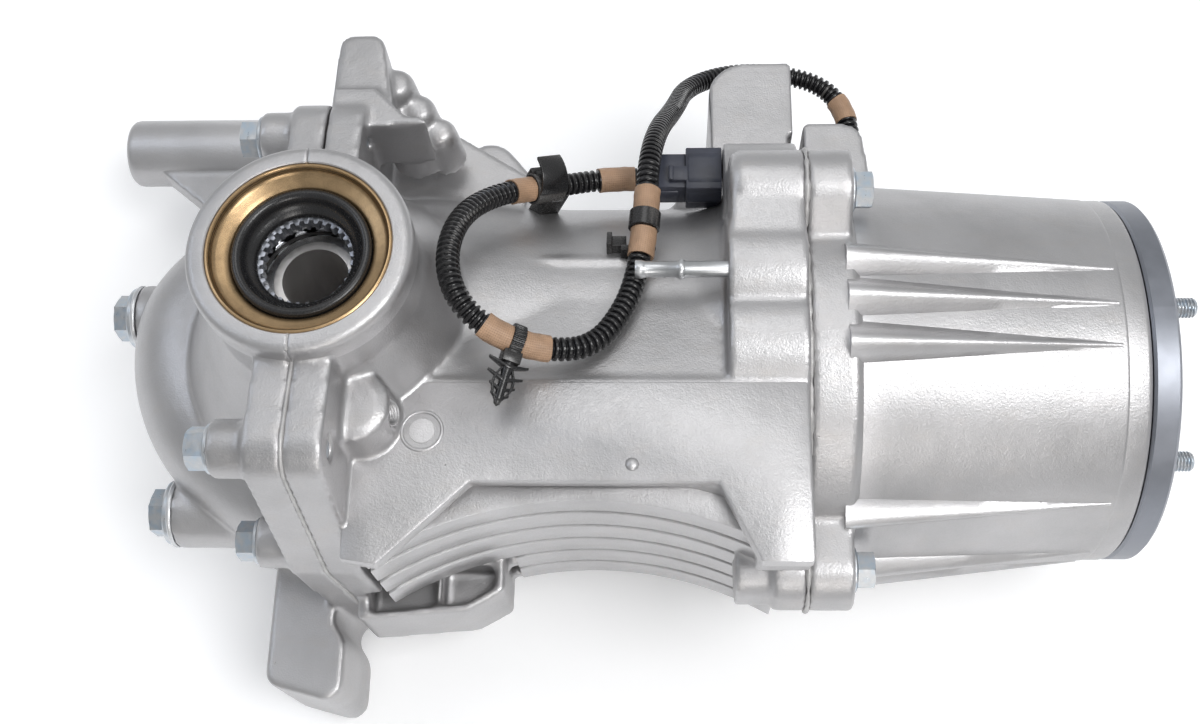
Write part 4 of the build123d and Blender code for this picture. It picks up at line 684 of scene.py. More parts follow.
class Shape:
    """A mesh put together from closed solids, in metres in the shared frame."""

    def __init__(self) -> None:
        """Starts with no faces."""
        self.work = bmesh.new()

    def rows(self, rows: Sequence[Sequence[Vector]], closed: bool = False) -> None:
        """Skins rows of points, each of which closes on itself. A row of one point is a pole.

        Args:
            rows: The rows, all of one length or of a single point.
            closed: True where the last row joins the first; otherwise open ends are capped.
        """
        made = [[self.work.verts.new(point) for point in row] for row in rows]
        pairs = list(zip(made, made[1:])) + ([(made[-1], made[0])] if closed else [])
        for first, second in pairs:
            count = max(len(first), len(second))
            for k in range(count):
                j = (k + 1) % count
                low = [first[k], first[j]] if len(first) > 1 else [first[0]]
                high = [second[j], second[k]] if len(second) > 1 else [second[0]]
                self.work.faces.new(low + high)
        if not closed:
            for end in (made[0], made[-1]):
                if len(end) > 1:
                    self.work.faces.new(end)

    def lathe(self, base: Sequence[float], axis: Sequence[float], profile: Corners, sides: int = 48,
              closed: bool = False, bend: Optional[Bend] = None) -> None:
        """Turns a profile round an axis.

        Args:
            base: Point on the axis, in millimetres.
            axis: Direction of the axis.
            profile: Radius and height of each corner, in millimetres.
            sides: Number of steps round.
            closed: True for a ring, whose profile closes on itself.
            bend: Changes radius and height by angle, for hexagons and threads.
        """
        along, level = Vector(axis).normalized(), Vector(UPWARDS)
        side = level - along * along.dot(level)
        side = side.normalized() if side.length > 0.01 else along.orthogonal().normalized()
        other = along.cross(side)
        rows = []
        for radius, height in profile:
            row = []
            for k in range(sides if radius > 1e-6 else 1):
                angle = 2 * math.pi * k / sides
                r, h = bend(angle, radius, height) if bend else (radius, height)
                out = side * math.cos(angle) + other * math.sin(angle)
                row.append((Vector(base) + along * h + out * r) * MM)
            rows.append(row)
        self.rows(rows, closed)

    def block(self, centre: Sequence[float], size: Sequence[float], along: Sequence[float] = FORWARDS,
              up: Sequence[float] = UPWARDS) -> None:
        """A box.

        Args:
            centre: Its middle, in millimetres.
            size: Length along, width across and height, in millimetres.
            along: Direction of its length.
            up: Rough direction of its height.
        """
        x = Vector(along).normalized()
        y = Vector(up).cross(x).normalized()
        turn = Matrix((x, y, x.cross(y))).transposed()
        self.rows([[(turn @ Vector([s * t / 2 for s, t in zip((end, *sign), size)]) + Vector(centre)) * MM
                    for sign in ((-1, -1), (1, -1), (1, 1), (-1, 1))] for end in (-1, 1)])

    def prism(self, outline: Corners, low: float, high: float, along_x: bool = False) -> None:
        """A prism over a plain outline.

        Args:
            outline: Corners in order, in millimetres: (x, y), or (y, z) for a prism along X.
            low: Where it starts along its axis.
            high: Where it ends.
            along_x: True for a prism along X, otherwise it stands along Z.
        """
        self.rows([[Vector((h, a, b) if along_x else (a, b, h)) * MM for a, b in outline]
                   for h in (low, high)])

    def piece(self, name: str, bevel: float = 0.0, degrees: float = 35.0) -> Piece:
        """The finished mesh as a piece.

        Args:
            name: Name of the piece.
            bevel: Width of its rounded edges, in millimetres.
            degrees: Angle past which an edge stays sharp.

        Returns:
            The piece.
        """
        bmesh.ops.recalc_face_normals(self.work, faces=self.work.faces)
        mesh = bpy.data.meshes.new(name)
        self.work.to_mesh(mesh)
        self.work.free()
        piece = linked(name, mesh)
        if bevel:
            piece = modified(piece, "Edges", "BEVEL", width=bevel * MM, segments=2, limit_method="ANGLE",
                             angle_limit=math.radians(40))
        smooth(piece.data, degrees)
        return piece


def blend(first: float, last: float, share: float) -> float:
    """The value at a share of the way from the first to the last."""
    return first + (last - first) * share


def on_line(places: np.ndarray, reach: Sequence[float], distance: float) -> Vector:
    """The point at a distance along a line whose points and their distances are known."""
    return Vector([float(np.interp(distance, reach, places[:, k])) for k in range(3)])


def hull(circles: Sequence[Point], steps: int = 40) -> list[Corner]:
    """The outline that a tight band round some circles takes.

    Args:
        circles: Centre and radius of each circle.
        steps: Points on each circle.

    Returns:
        Corners of the outline, in order.
    """
    turns = [2 * math.pi * k / steps for k in range(steps)]
    spots = sorted({(round(x + r * math.cos(turn), 4), round(y + r * math.sin(turn), 4))
                    for x, y, r in circles for turn in turns})
    halves: list[list[Corner]] = []
    for row in (spots, spots[::-1]):
        half: list[Corner] = []
        for spot in row:
            while len(half) > 1 and ((half[-1][0] - half[-2][0]) * (spot[1] - half[-2][1])
                                     - (half[-1][1] - half[-2][1]) * (spot[0] - half[-2][0])) <= 0:
                half.pop()
            half.append(spot)
        halves.append(half[:-1])
    return halves[0] + halves[1]


def arc(first: Corner, middle: Corner, last: Corner, steps: int = 28) -> list[Corner]:
    """Points on the arc through three points.

    Args:
        first: Where it starts.
        middle: A point on the way.
        last: Where it ends.
        steps: Number of steps.

    Returns:
        The points, from first to last.
    """
    (ax, ay), (bx, by), (cx, cy) = first, middle, last
    d = 2 * (ax * (by - cy) + bx * (cy - ay) + cx * (ay - by))
    a, b, c = ax * ax + ay * ay, bx * bx + by * by, cx * cx + cy * cy
    x = (a * (by - cy) + b * (cy - ay) + c * (ay - by)) / d
    y = (a * (cx - bx) + b * (ax - cx) + c * (bx - ax)) / d
    radius = math.hypot(ax - x, ay - y)
    start, end = math.atan2(ay - y, ax - x), math.atan2(cy - y, cx - x)
    turns = [start + (end - start) * k / steps for k in range(steps + 1)]
    return [(x + radius * math.cos(turn), y + radius * math.sin(turn)) for turn in turns]


def merged_copy(node: Piece, name: str) -> Piece:
    """A copy of a solid's mesh with its loose triangles joined.

    Args:
        node: The solid.
        name: Name of the copy.

    Returns:
        The copy.
    """
    mesh = node.data.copy()
    work = bmesh.new()
    work.from_mesh(mesh)
    bmesh.ops.remove_doubles(work, verts=work.verts, dist=JOIN)
    work.to_mesh(mesh)
    work.free()
    mesh.materials.clear()
    return linked(name, mesh)


def carve(piece: Piece, hollows: Draw) -> Piece:
    """Takes closed forms out of a piece.

    Args:
        piece: The piece.
        hollows: Draws the forms.

    Returns:
        The plain piece that is left.
    """
    tool = Shape()
    hollows(tool)
    cutter = tool.piece("hollows")
    piece = modified(piece, "Hollows", "BOOLEAN", operation="DIFFERENCE", object=cutter, solver="EXACT")
    bpy.data.objects.remove(cutter)
    return piece


def grow(piece: Piece, forms: Draw) -> None:
    """Adds closed forms to a piece's mesh, for the grid to join.

    Args:
        piece: The piece.
        forms: Draws the forms.
    """
    added = Shape()
    forms(added)
    bmesh.ops.recalc_face_normals(added.work, faces=added.work.faces)
    added.work.from_mesh(piece.data)
    added.work.to_mesh(piece.data)
    added.work.free()


@dataclass
class CastSkin:
    """The soft-edged skin of one casting, with its faced rims kept plain.

    Hollows and forms come before the grid, which joins them softly. Bores come after it and stay crisp.
    """

    node: str
    name: str
    hollows: Optional[Draw] = None
    forms: Optional[Draw] = None
    bores: Optional[Draw] = None
    voxel: float = 1.25 * MM
    rounds: int = 5
    rim: float = 2.2 * MM
    rim_softness: float = 0.55
    most: int = 190_000
    faced_x: tuple[float, ...] = (AXLE_X, JOINT_X, CASE_FACE_X)
    faced_z: tuple[float, ...] = tuple(level for level, _ in PORTS)

    def weigh(self, piece: Piece) -> None:
        """Marks how far each vertex may soften: little beside the faced planes, fully elsewhere.

        Args:
            piece: The gridded casting.
        """
        mesh = piece.data
        places = np.empty(len(mesh.vertices) * 3)
        mesh.vertices.foreach_get("co", places)
        places = places.reshape(-1, 3)
        near = np.full(len(places), 1.0)
        for axis, planes in ((0, self.faced_x), (2, self.faced_z)):
            for plane in planes:
                near = np.minimum(near, np.abs(places[:, axis] - plane * MM))
        group = piece.vertex_groups.new(name="Soft")
        group.add(np.nonzero(near > self.rim)[0].tolist(), 1.0, "REPLACE")
        group.add(np.nonzero(near <= self.rim)[0].tolist(), self.rim_softness, "REPLACE")

    def build(self, frame: dict) -> None:
        """Rounds the solid's edges the way a sand casting has them, and lets the skin stand for it.

        Args:
            frame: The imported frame.
        """
        piece = merged_copy(frame["nodes"][self.node], self.name)
        if self.hollows:
            piece = carve(piece, self.hollows)
        if self.forms:
            grow(piece, self.forms)
        piece = modified(piece, "Grid", "REMESH", mode="VOXEL", voxel_size=self.voxel)
        self.weigh(piece)
        piece = modified(piece, "Soften", "SMOOTH", vertex_group="Soft", factor=0.5, iterations=self.rounds)
        triangles = 2 * len(piece.data.polygons)
        if triangles > self.most:
            piece = modified(piece, "Thin", "DECIMATE", ratio=self.most / triangles)
        if self.bores:
            piece = carve(piece, self.bores)
        piece.data.shade_smooth()
        seat(piece, Body.HOUSING, CAST, self.node)


class PieceTree:
    """Geometry node tree of repeated forms, with named inputs and one geometry that it gives."""

    def __init__(self, name: str, inputs: dict[str, str], output: str) -> None:
        """Starts a tree with its sockets.

        Args:
            name: Name of the tree.
            inputs: Kind of each input by its name, such as Float.
            output: Name of the geometry that it gives.
        """
        self.tree = bpy.data.node_groups.new(name, "GeometryNodeTree")
        for label, kind in inputs.items():
            self.tree.interface.new_socket(label, in_out="INPUT", socket_type=f"NodeSocket{kind}")
        self.tree.interface.new_socket(output, in_out="OUTPUT", socket_type="NodeSocketGeometry")
        self.source = self.make("NodeGroupInput").outputs
        self.result = self.make("NodeGroupOutput").inputs[output]

    def make(self, kind: str) -> bpy.types.Node:
        """A new node of a kind."""
        return self.tree.nodes.new(kind)

    def link(self, source: Socket, target: Socket) -> None:
        """Joins one socket to another."""
        self.tree.links.new(source, target)

    def sum(self, operation: str, first: Socket, second: Socket | float | None = None) -> Socket:
        """One or two values put through a named operation."""
        return arithmetic(self.tree, operation, first, second)

    def close(self, geometry: Socket) -> bpy.types.NodeTree:
        """Makes a geometry real, gives it the finish and ends the tree with it.

        Args:
            geometry: The geometry, which may hold instances.

        Returns:
            The tree.
        """
        whole = self.make("GeometryNodeRealizeInstances")
        dress = self.make("GeometryNodeSetMaterial")
        self.link(geometry, whole.inputs["Geometry"])
        self.link(whole.outputs["Geometry"], dress.inputs["Geometry"])
        self.link(self.source["Finish"], dress.inputs["Material"])
        self.link(dress.outputs["Geometry"], self.result)
        return self.tree


def give_tree(piece: Piece, tree: bpy.types.NodeTree, values: dict[str, object]) -> Piece:
    """Puts a piece through a node tree, whose inputs are set by their identifiers.

    Args:
        piece: The object.
        tree: The geometry node tree.
        values: Input values by the inputs' names.

    Returns:
        The plain piece that comes out.
    """
    modifier = piece.modifiers.new(tree.name, "NODES")
    modifier.node_group = tree
    for item in tree.interface.items_tree:
        if item.item_type == "SOCKET" and item.in_out == "INPUT" and item.name in values:
            modifier[item.identifier] = values[item.name]
    return plain(piece)


@dataclass(frozen=True)
class RoutePlace:
    """A place on the lead's line."""

    point: Vector
    along: Vector


@dataclass
class Lead:
    """The wiring lead: corrugated conduit on its route, with tape bands and cable clips."""

    route: Sequence[Point]
    radius: float = 4.3 * MM
    rib_pitch: float = 2.5 * MM
    rib_height: float = 1.15 * MM
    rib_steps: float = 7.0
    rib_shape: tuple[float, float, float, float] = (-0.75, 0.35, 1.0, 0.0)
    sides: int = 22
    span: float = 1.5 * MM
    wrap_sides: int = 40
    wrap_step: float = 0.8 * MM
    line: list[Vector] = field(default_factory=list)
    reach: list[float] = field(default_factory=list)

    def spline(self, name: str) -> Piece:
        """The lead's smooth line as a curve object.

        Args:
            name: Name of the curve.

        Returns:
            The curve object.
        """
        curve = bpy.data.curves.new(name, "CURVE")
        curve.dimensions = "3D"
        curve.resolution_u = 24
        run = curve.splines.new("NURBS")
        run.points.add(len(self.route) - 1)
        for point, place in zip(run.points, self.route):
            point.co = (*(value * MM for value in place), 1)
        run.order_u = 3
        run.use_endpoint_u = True
        return linked(name, curve)

    def trace(self) -> None:
        """Reads the line's points and the distance of each from the plug."""
        bare = self.spline("lead_line")
        graph = bpy.context.evaluated_depsgraph_get()
        mesh = bpy.data.meshes.new_from_object(bare.evaluated_get(graph))
        self.line = [vertex.co.copy() for vertex in mesh.vertices]
        bpy.data.objects.remove(bare)
        self.reach = [0.0]
        for before, here in zip(self.line, self.line[1:]):
            self.reach.append(self.reach[-1] + (here - before).length)

    def at(self, distance: float) -> RoutePlace:
        """The place at a distance from the plug, in metres.

        Args:
            distance: The distance.

        Returns:
            The place, with the line's direction there.
        """
        points = np.array([tuple(p) for p in self.line])
        here, before, after = (on_line(points, self.reach, distance + shift)
                               for shift in (0.0, -self.span, self.span))
        return RoutePlace(here, (after - before).normalized())

    def conduit_tree(self) -> bpy.types.NodeTree:
        """Node tree that sweeps a ribbed tube along a curve, with its sizes as inputs.

        Returns:
            The tree.
        """
        tree = PieceTree("Corrugated tube", {"Line": "Geometry", "Radius": "Float", "Rib pitch": "Float",
                                             "Rib height": "Float", "Finish": "Material"}, "Tube")
        pitch = tree.source["Rib pitch"]
        spread = tree.make("GeometryNodeResampleCurve")
        spread.mode = "LENGTH"
        tree.link(tree.source["Line"], spread.inputs["Curve"])
        tree.link(tree.sum("DIVIDE", pitch, self.rib_steps), spread.inputs["Length"])
        travelled = tree.make("GeometryNodeSplineParameter").outputs["Length"]
        angle = tree.sum("MULTIPLY", tree.sum("DIVIDE", travelled, pitch), 2 * math.pi)
        depth = tree.make("ShaderNodeMapRange")
        depth.interpolation_type = "SMOOTHSTEP"
        for index, value in enumerate(self.rib_shape, 1):
            depth.inputs[index].default_value = value
        tree.link(tree.sum("COSINE", angle), depth.inputs[0])
        groove = tree.sum("MULTIPLY", depth.outputs[0], tree.source["Rib height"])
        size = tree.sum("SUBTRACT", tree.source["Radius"], groove)
        ring = tree.make("GeometryNodeCurvePrimitiveCircle")
        ring.inputs["Resolution"].default_value = self.sides
        ring.inputs["Radius"].default_value = 1.0
        sweep = tree.make("GeometryNodeCurveToMesh")
        sweep.inputs["Fill Caps"].default_value = True
        tree.link(ring.outputs["Curve"], sweep.inputs["Profile Curve"])
        if "Scale" in sweep.inputs:
            tree.link(size, sweep.inputs["Scale"])
            tree.link(spread.outputs["Curve"], sweep.inputs["Curve"])
        else:
            thick = tree.make("GeometryNodeSetCurveRadius")
            tree.link(spread.outputs["Curve"], thick.inputs["Curve"])
            tree.link(size, thick.inputs["Radius"])
            tree.link(thick.outputs["Curve"], sweep.inputs["Curve"])
        return tree.close(sweep.outputs["Mesh"])

    def conduit(self) -> Piece:
        """The ribbed conduit as a plain mesh along the line.

        Returns:
            The conduit, on its body.
        """
        piece = give_tree(self.spline("ribbed_conduit"), self.conduit_tree(), {
            "Radius": self.radius, "Rib pitch": self.rib_pitch, "Rib height": self.rib_height,
            "Finish": CONDUIT.material(),
        })
        smooth(piece.data, 60)
        return seat(piece, Body.HOUSING, CONDUIT, "harness_conduit")

    @staticmethod
    def crinkle(turn: float, distance: float) -> float:
        """How far wrapped cloth stands up at an angle and a distance along the lead, in metres."""
        slow, fast = math.sin(5 * turn + 900 * distance), math.sin(11 * turn - 1500 * distance)
        return 0.07 * MM * slow + 0.05 * MM * fast

    def sleeve(self, name: str, start: float, end: float, height: float, finish: Finish,
               lap: float = 0.0) -> Piece:
        """A band wrapped round the conduit, with its turned-in ends.

        Args:
            name: Name of the piece.
            start: Distance from the plug where it starts, in metres.
            end: Distance where it ends.
            height: How far it stands over the conduit's ribs.
            finish: Its finish.
            lap: Extra height of the loose end that laps over the first turn.

        Returns:
            The band, not yet on its body.
        """
        work = bmesh.new()
        wrap = work.loops.layers.uv.new(WRAP_MAP)
        count, sides = max(6, int((end - start) / self.wrap_step)), self.wrap_sides
        stations = [(start + 0.25 * MM, -0.55 * MM), (start, -0.1 * MM)]
        stations += [(start + (end - start) * k / count, height) for k in range(count + 1)]
        stations += [(end, -0.1 * MM), (end - 0.25 * MM, -0.55 * MM)]
        up = Vector((0.1, 0.2, 1)).normalized()
        rings = []
        step = 2 * math.pi * self.radius / sides
        for distance, rise in stations:
            here = self.at(distance)
            side = here.along.cross(up).normalized()
            top = side.cross(here.along).normalized()
            ring = []
            for k in range(sides):
                turn = 2 * math.pi * k / sides
                loose = lap * max(0.0, 1 - k / 5)
                radius = self.radius + rise + (self.crinkle(turn, distance) + loose if rise > 0 else 0)
                out = side * math.cos(turn) + top * math.sin(turn)
                ring.append(work.verts.new(here.point + out * radius))
            rings.append((distance, ring))
        for (d0, first), (d1, second) in zip(rings, rings[1:]):
            for k in range(sides):
                j = (k + 1) % sides
                face = work.faces.new((first[k], first[j], second[j], second[k]))
                for loop, (u, v) in zip(face.loops, ((k, d0), (k + 1, d0), (k + 1, d1), (k, d1))):
                    loop[wrap].uv = (u * step, v)
        bmesh.ops.recalc_face_normals(work, faces=work.faces)
        mesh = bpy.data.meshes.new(name)
        work.to_mesh(mesh)
        work.free()
        smooth(mesh, 50)
        piece = linked(name, mesh)
        piece.data.materials.append(finish.material())
        return piece


HARNESS_ROUTE: tuple[Point, ...] = (
    (-188.6, 66, 51), (-208, 66, 51), (-228, 57.5, 60), (-247, 48, 73), (-259.5, 31, 88), (-262.6, 9, 98),
    (-257.5, -9.5, 101), (-245, -19.5, 95), (-228, -23, 87), (-210, -19.5, 81), (-199, -2.5, 77),
    (-194, 16, 75), (-191.8, 37.5, 76), (-190.8, 60, 75), (-187.6, 82, 62), (-181, 107, 36),
    (-175.5, 134, 12), (-156, 147, 3), (-133, 148.5, 0), (-112, 142, -1), (-102, 124, -2), (-102, 105, -2),
)


@dataclass
class SealantBead:
    """The thin bead of sealant that stands in the groove of a joint."""

    node: str
    name: str
    sunk: float = 0.75
    radius: float = 0.95
    swell: float = 0.15
    step: float = 1.3
    sides: int = 8
    flatness: float = 0.8
    margin: float = 0.05

    def edge_loop(self, node: Piece) -> list[Vector]:
        """The gasket's outer edge on its forward face, in order.

        Args:
            node: The gasket's solid.

        Returns:
            Points of the edge, in metres.
        """
        work = bmesh.new()
        work.from_mesh(node.data)
        bmesh.ops.remove_doubles(work, verts=work.verts, dist=JOIN)
        bmesh.ops.dissolve_degenerate(work, edges=work.edges, dist=JOIN)
        top = max(vertex.co.x for vertex in work.verts)
        rim = [edge for edge in work.edges if all(abs(v.co.x - top) < 0.01 * MM for v in edge.verts)
               and edge.is_manifold and min(abs(f.normal.x) for f in edge.link_faces) < 0.5]
        ahead: dict[int, list[int]] = {}
        for edge in rim:
            a, b = (v.index for v in edge.verts)
            ahead.setdefault(a, []).append(b)
            ahead.setdefault(b, []).append(a)
        work.verts.ensure_lookup_table()
        loops, left = [], set(ahead)
        while left:
            start = left.pop()
            loop, here = [start], start
            while True:
                step = [k for k in ahead[here] if k in left]
                if not step:
                    break
                here = step[0]
                left.discard(here)
                loop.append(here)
            loops.append([work.verts[k].co.copy() for k in loop])
        work.free()
        return max(loops, key=lambda loop: sum((a - b).length for a, b in zip(loop, loop[1:])))

    def even(self, loop: list[Vector]) -> list[Vector]:
        """The closed loop with points an even step apart.

        Args:
            loop: Points of the loop.

        Returns:
            The even points.
        """
        ring = loop + [loop[0]]
        reach = np.concatenate([[0.0], np.cumsum([(b - a).length for a, b in zip(ring, ring[1:])])])
        spots = np.linspace(0, reach[-1], int(reach[-1] / (self.step * MM)), endpoint=False)
        places = np.array([tuple(p) for p in ring])
        return [on_line(places, reach, spot) for spot in spots]

    def lump(self, distance: float) -> float:
        """How much wider the bead is at a distance in millimetres."""
        return 1 + self.swell * (0.2 * math.sin(distance * 0.23) + 0.16 * math.sin(distance * 0.61 + 2)
                                 + 0.12 * math.sin(distance * 1.31))

    def build(self, frame: dict) -> None:
        """Lays the bead along the joint, a little uneven in width, and lets it stand for the gasket.

        Args:
            frame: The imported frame.
        """
        node = frame["nodes"][self.node]
        points = self.even(self.edge_loop(node))
        low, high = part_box(self.node)
        middle = (low.x + high.x) / 2
        floor, top = (corner.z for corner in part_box("main_housing"))
        centre = sum(points, Vector()) / len(points)
        area = sum(a.y * b.z - b.y * a.z for a, b in zip(points, points[1:] + points[:1]))
        shape = Shape()
        rows = []
        for k, point in enumerate(points):
            along = (points[(k + 1) % len(points)] - points[k - 1]).normalized()
            out = along.cross(Vector(FORWARDS)) * (1 if area > 0 else -1)
            out.normalize()
            core = Vector((middle, point.y, point.z)) - out * self.sunk * MM
            width = self.radius * self.lump(k * self.step) * MM
            row = []
            for n in range(self.sides):
                turn = 2 * math.pi * n / self.sides
                spot = core + (Vector((self.flatness, 0, 0)) * math.cos(turn) + out * math.sin(turn)) * width
                spot.z = min(max(spot.z, floor + self.margin * MM), top - self.margin * MM)
                row.append(spot)
            rows.append(row)
        shape.rows(rows, True)
        LOG.info("%s round %s, %d points", self.name, tuple(round(v, 3) for v in centre), len(points))
        seat(shape.piece(self.name, degrees=70), Body.HOUSING, SEALANT, self.node)


# Steps along one turn of a thread.
THREAD_STEPS = 7


@dataclass(frozen=True)
class HexFastener:
    """A flanged hexagon fastener, drawn with its seat at the origin and its head towards +X."""

    across: float
    head: float
    collar_radius: float
    collar: float
    shank_radius: float
    shank: float
    thread: float = 9.0
    pitch: float = 1.25
    dish: float = 0.7
    flats_from: float = 0.93
    chamfer_from: float = 0.97
    chamfer: float = 0.55
    groove: float = 0.3844

    def hexagon(self, angle: float, radius: float, height: float) -> Corner:
        """Radius and height on the hexagon where the profile asks for more than the flats give.

        Args:
            angle: Angle round the axis.
            radius: Radius that the profile asks for.
            height: Height that the profile asks for.

        Returns:
            Radius and height there.
        """
        flat = self.across / 2 / math.cos((angle % (math.pi / 3)) - math.pi / 6)
        if radius <= self.flats_from * self.across / 2 or height <= self.collar * 0.95:
            return radius, height
        wide = min(radius, flat)
        drop = max(0.0, wide - self.chamfer_from * self.across / 2) * self.chamfer
        return wide, height - (drop if height > self.head - 0.05 else 0.0)

    def threaded(self, angle: float, radius: float, height: float) -> Corner:
        """Radius on the thread, which runs out at the tip.

        Args:
            angle: Angle round the axis.
            radius: Radius that the profile asks for.
            height: Height that the profile asks for.

        Returns:
            Radius and height there.
        """
        if height > -self.shank + self.thread + 0.01 or radius < self.shank_radius * 0.8:
            return radius, height
        turn = (height / self.pitch - angle / (2 * math.pi)) % 1.0
        cut = self.groove * self.pitch * (0.5 + 0.5 * math.cos(2 * math.pi * turn))
        tip = max(0.0, 1.1 - (height + self.shank))
        return radius - max(cut, tip * 0.8), height

    def shape(self, name: str) -> Piece:
        """The fastener at the origin.

        Args:
            name: Name of the piece.

        Returns:
            The fastener.
        """
        flats = self.across / 2
        corner = flats / math.cos(math.pi / 6) + 0.1
        top = self.head
        head = [(0, top - self.dish), (flats * 0.55, top - self.dish), (flats * 0.66, top),
                (0.96 * flats, top), (corner, top), (corner, top - 0.4), (corner, self.collar + 0.45),
                (corner, self.collar)]
        collar = [(self.collar_radius * 0.97, self.collar * 0.72), (self.collar_radius, self.collar * 0.5),
                  (self.collar_radius, self.collar * 0.12), (self.collar_radius * 0.985, 0.0)]
        steps = int(self.thread / (self.pitch / THREAD_STEPS))
        start = -self.shank + self.thread
        stem = [(self.shank_radius, 0.0), (self.shank_radius, start + 0.4)]
        stem += [(self.shank_radius, start - self.thread * k / steps) for k in range(steps + 1)]
        shape = Shape()
        shape.lathe(ORIGIN, FORWARDS, [*head, *collar, *stem, (0, -self.shank)], 48, bend=self.bend)
        return shape.piece(name, degrees=28)

    def bend(self, angle: float, radius: float, height: float) -> Corner:
        """Hexagon above the collar, thread near the tip."""
        return self.hexagon(angle, radius, height) if height > 0 else self.threaded(angle, radius, height)


@dataclass(frozen=True)
class ThreadedStud:
    """A stud along +X from the origin, threaded over its length."""

    radius: float
    length: float
    sunk: float
    pitch: float = 1.25
    groove: float = 0.4

    def bend(self, angle: float, radius: float, height: float) -> Corner:
        """Radius on the thread, with a chamfered end.

        Args:
            angle: Angle round the axis.
            radius: Radius that the profile asks for.
            height: Height that the profile asks for.

        Returns:
            Radius and height there.
        """
        if radius < self.radius * 0.7 or height < 0.3:
            return radius, height
        turn = (height / self.pitch - angle / (2 * math.pi)) % 1.0
        cut = self.groove * self.pitch * (0.5 + 0.5 * math.cos(2 * math.pi * turn))
        tip = max(0.0, 1.2 - (self.length - height))
        return radius - max(cut, tip * 0.75), height

    def shape(self, name: str) -> Piece:
        """The stud at the origin.

        Args:
            name: Name of the piece.

        Returns:
            The stud.
        """
        steps = int(self.length / (self.pitch / THREAD_STEPS))
        profile = [(0, -self.sunk), (self.radius, -self.sunk)]
        profile += [(self.radius, self.length * k / steps) for k in range(steps + 1)] + [(0, self.length)]
        shape = Shape()
        shape.lathe(ORIGIN, FORWARDS, profile, 32, bend=self.bend)
        return shape.piece(name, degrees=28)


def rows_tree() -> bpy.types.NodeTree:
    """Node tree that sets one fastener on every seat, each turned by its own chance angle.

    Returns:
        The tree, which all the rows share.
    """
    known = bpy.data.node_groups.get("Fasteners on seats")
    if known:
        return known
    tree = PieceTree("Fasteners on seats", {"Seats": "Geometry", "Fastener": "Object", "Facing": "Float",
                                            "Seed": "Int", "Finish": "Material"}, "Fasteners")
    part = tree.make("GeometryNodeObjectInfo")
    spin = tree.make("FunctionNodeRandomValue")
    spin.data_type = "FLOAT"
    spin.inputs[3].default_value = 2 * math.pi
    angles = tree.make("ShaderNodeCombineXYZ")
    turn = tree.make("FunctionNodeEulerToRotation")
    place = tree.make("GeometryNodeInstanceOnPoints")
    tree.link(tree.source["Fastener"], part.inputs["Object"])
    tree.link(tree.source["Seed"], spin.inputs["Seed"])
    tree.link(spin.outputs[1], angles.inputs["X"])
    tree.link(tree.source["Facing"], angles.inputs["Z"])
    tree.link(angles.outputs[0], turn.inputs[0])
    tree.link(tree.source["Seats"], place.inputs["Points"])
    tree.link(part.outputs["Geometry"], place.inputs["Instance"])
    tree.link(turn.outputs[0], place.inputs["Rotation"])
    return tree.close(place.outputs["Instances"])


@dataclass
class FastenerRow:
    """Like fasteners on the seats of one joint."""

    name: str
    node: str
    fastener: HexFastener | ThreadedStud
    seats: Sequence[Point]
    forwards: bool = True
    body: Body = Body.HOUSING
    seed: int = 3

    def build(self) -> None:
        """Sets the fasteners on their seats and lets them stand for their node."""
        pattern = self.fastener.shape(f"{self.name}_pattern")
        mesh = bpy.data.meshes.new(self.name)
        mesh.from_pydata([tuple(value * MM for value in place) for place in self.seats], [], [])
        row = give_tree(linked(self.name, mesh), rows_tree(), {
            "Fastener": pattern, "Facing": 0.0 if self.forwards else math.pi, "Seed": self.seed,
            "Finish": ZINC.material(),
        })
        bpy.data.objects.remove(pattern)
        smooth(row.data, 28)
        seat(row, self.body, ZINC, self.node)


COVER_BOLTS = ((-66, 106), (-80, 40), (-76, -68), (76, -68), (84, -12), (80, 46), (61, 91))
CASE_BOLTS = ((47, 75), (-86, 26), (-44, -77), (78, -43))
STUDS = tuple((42 * math.cos(math.radians(a)), 42 * math.sin(math.radians(a))) for a in (70, 160, 250, 340))


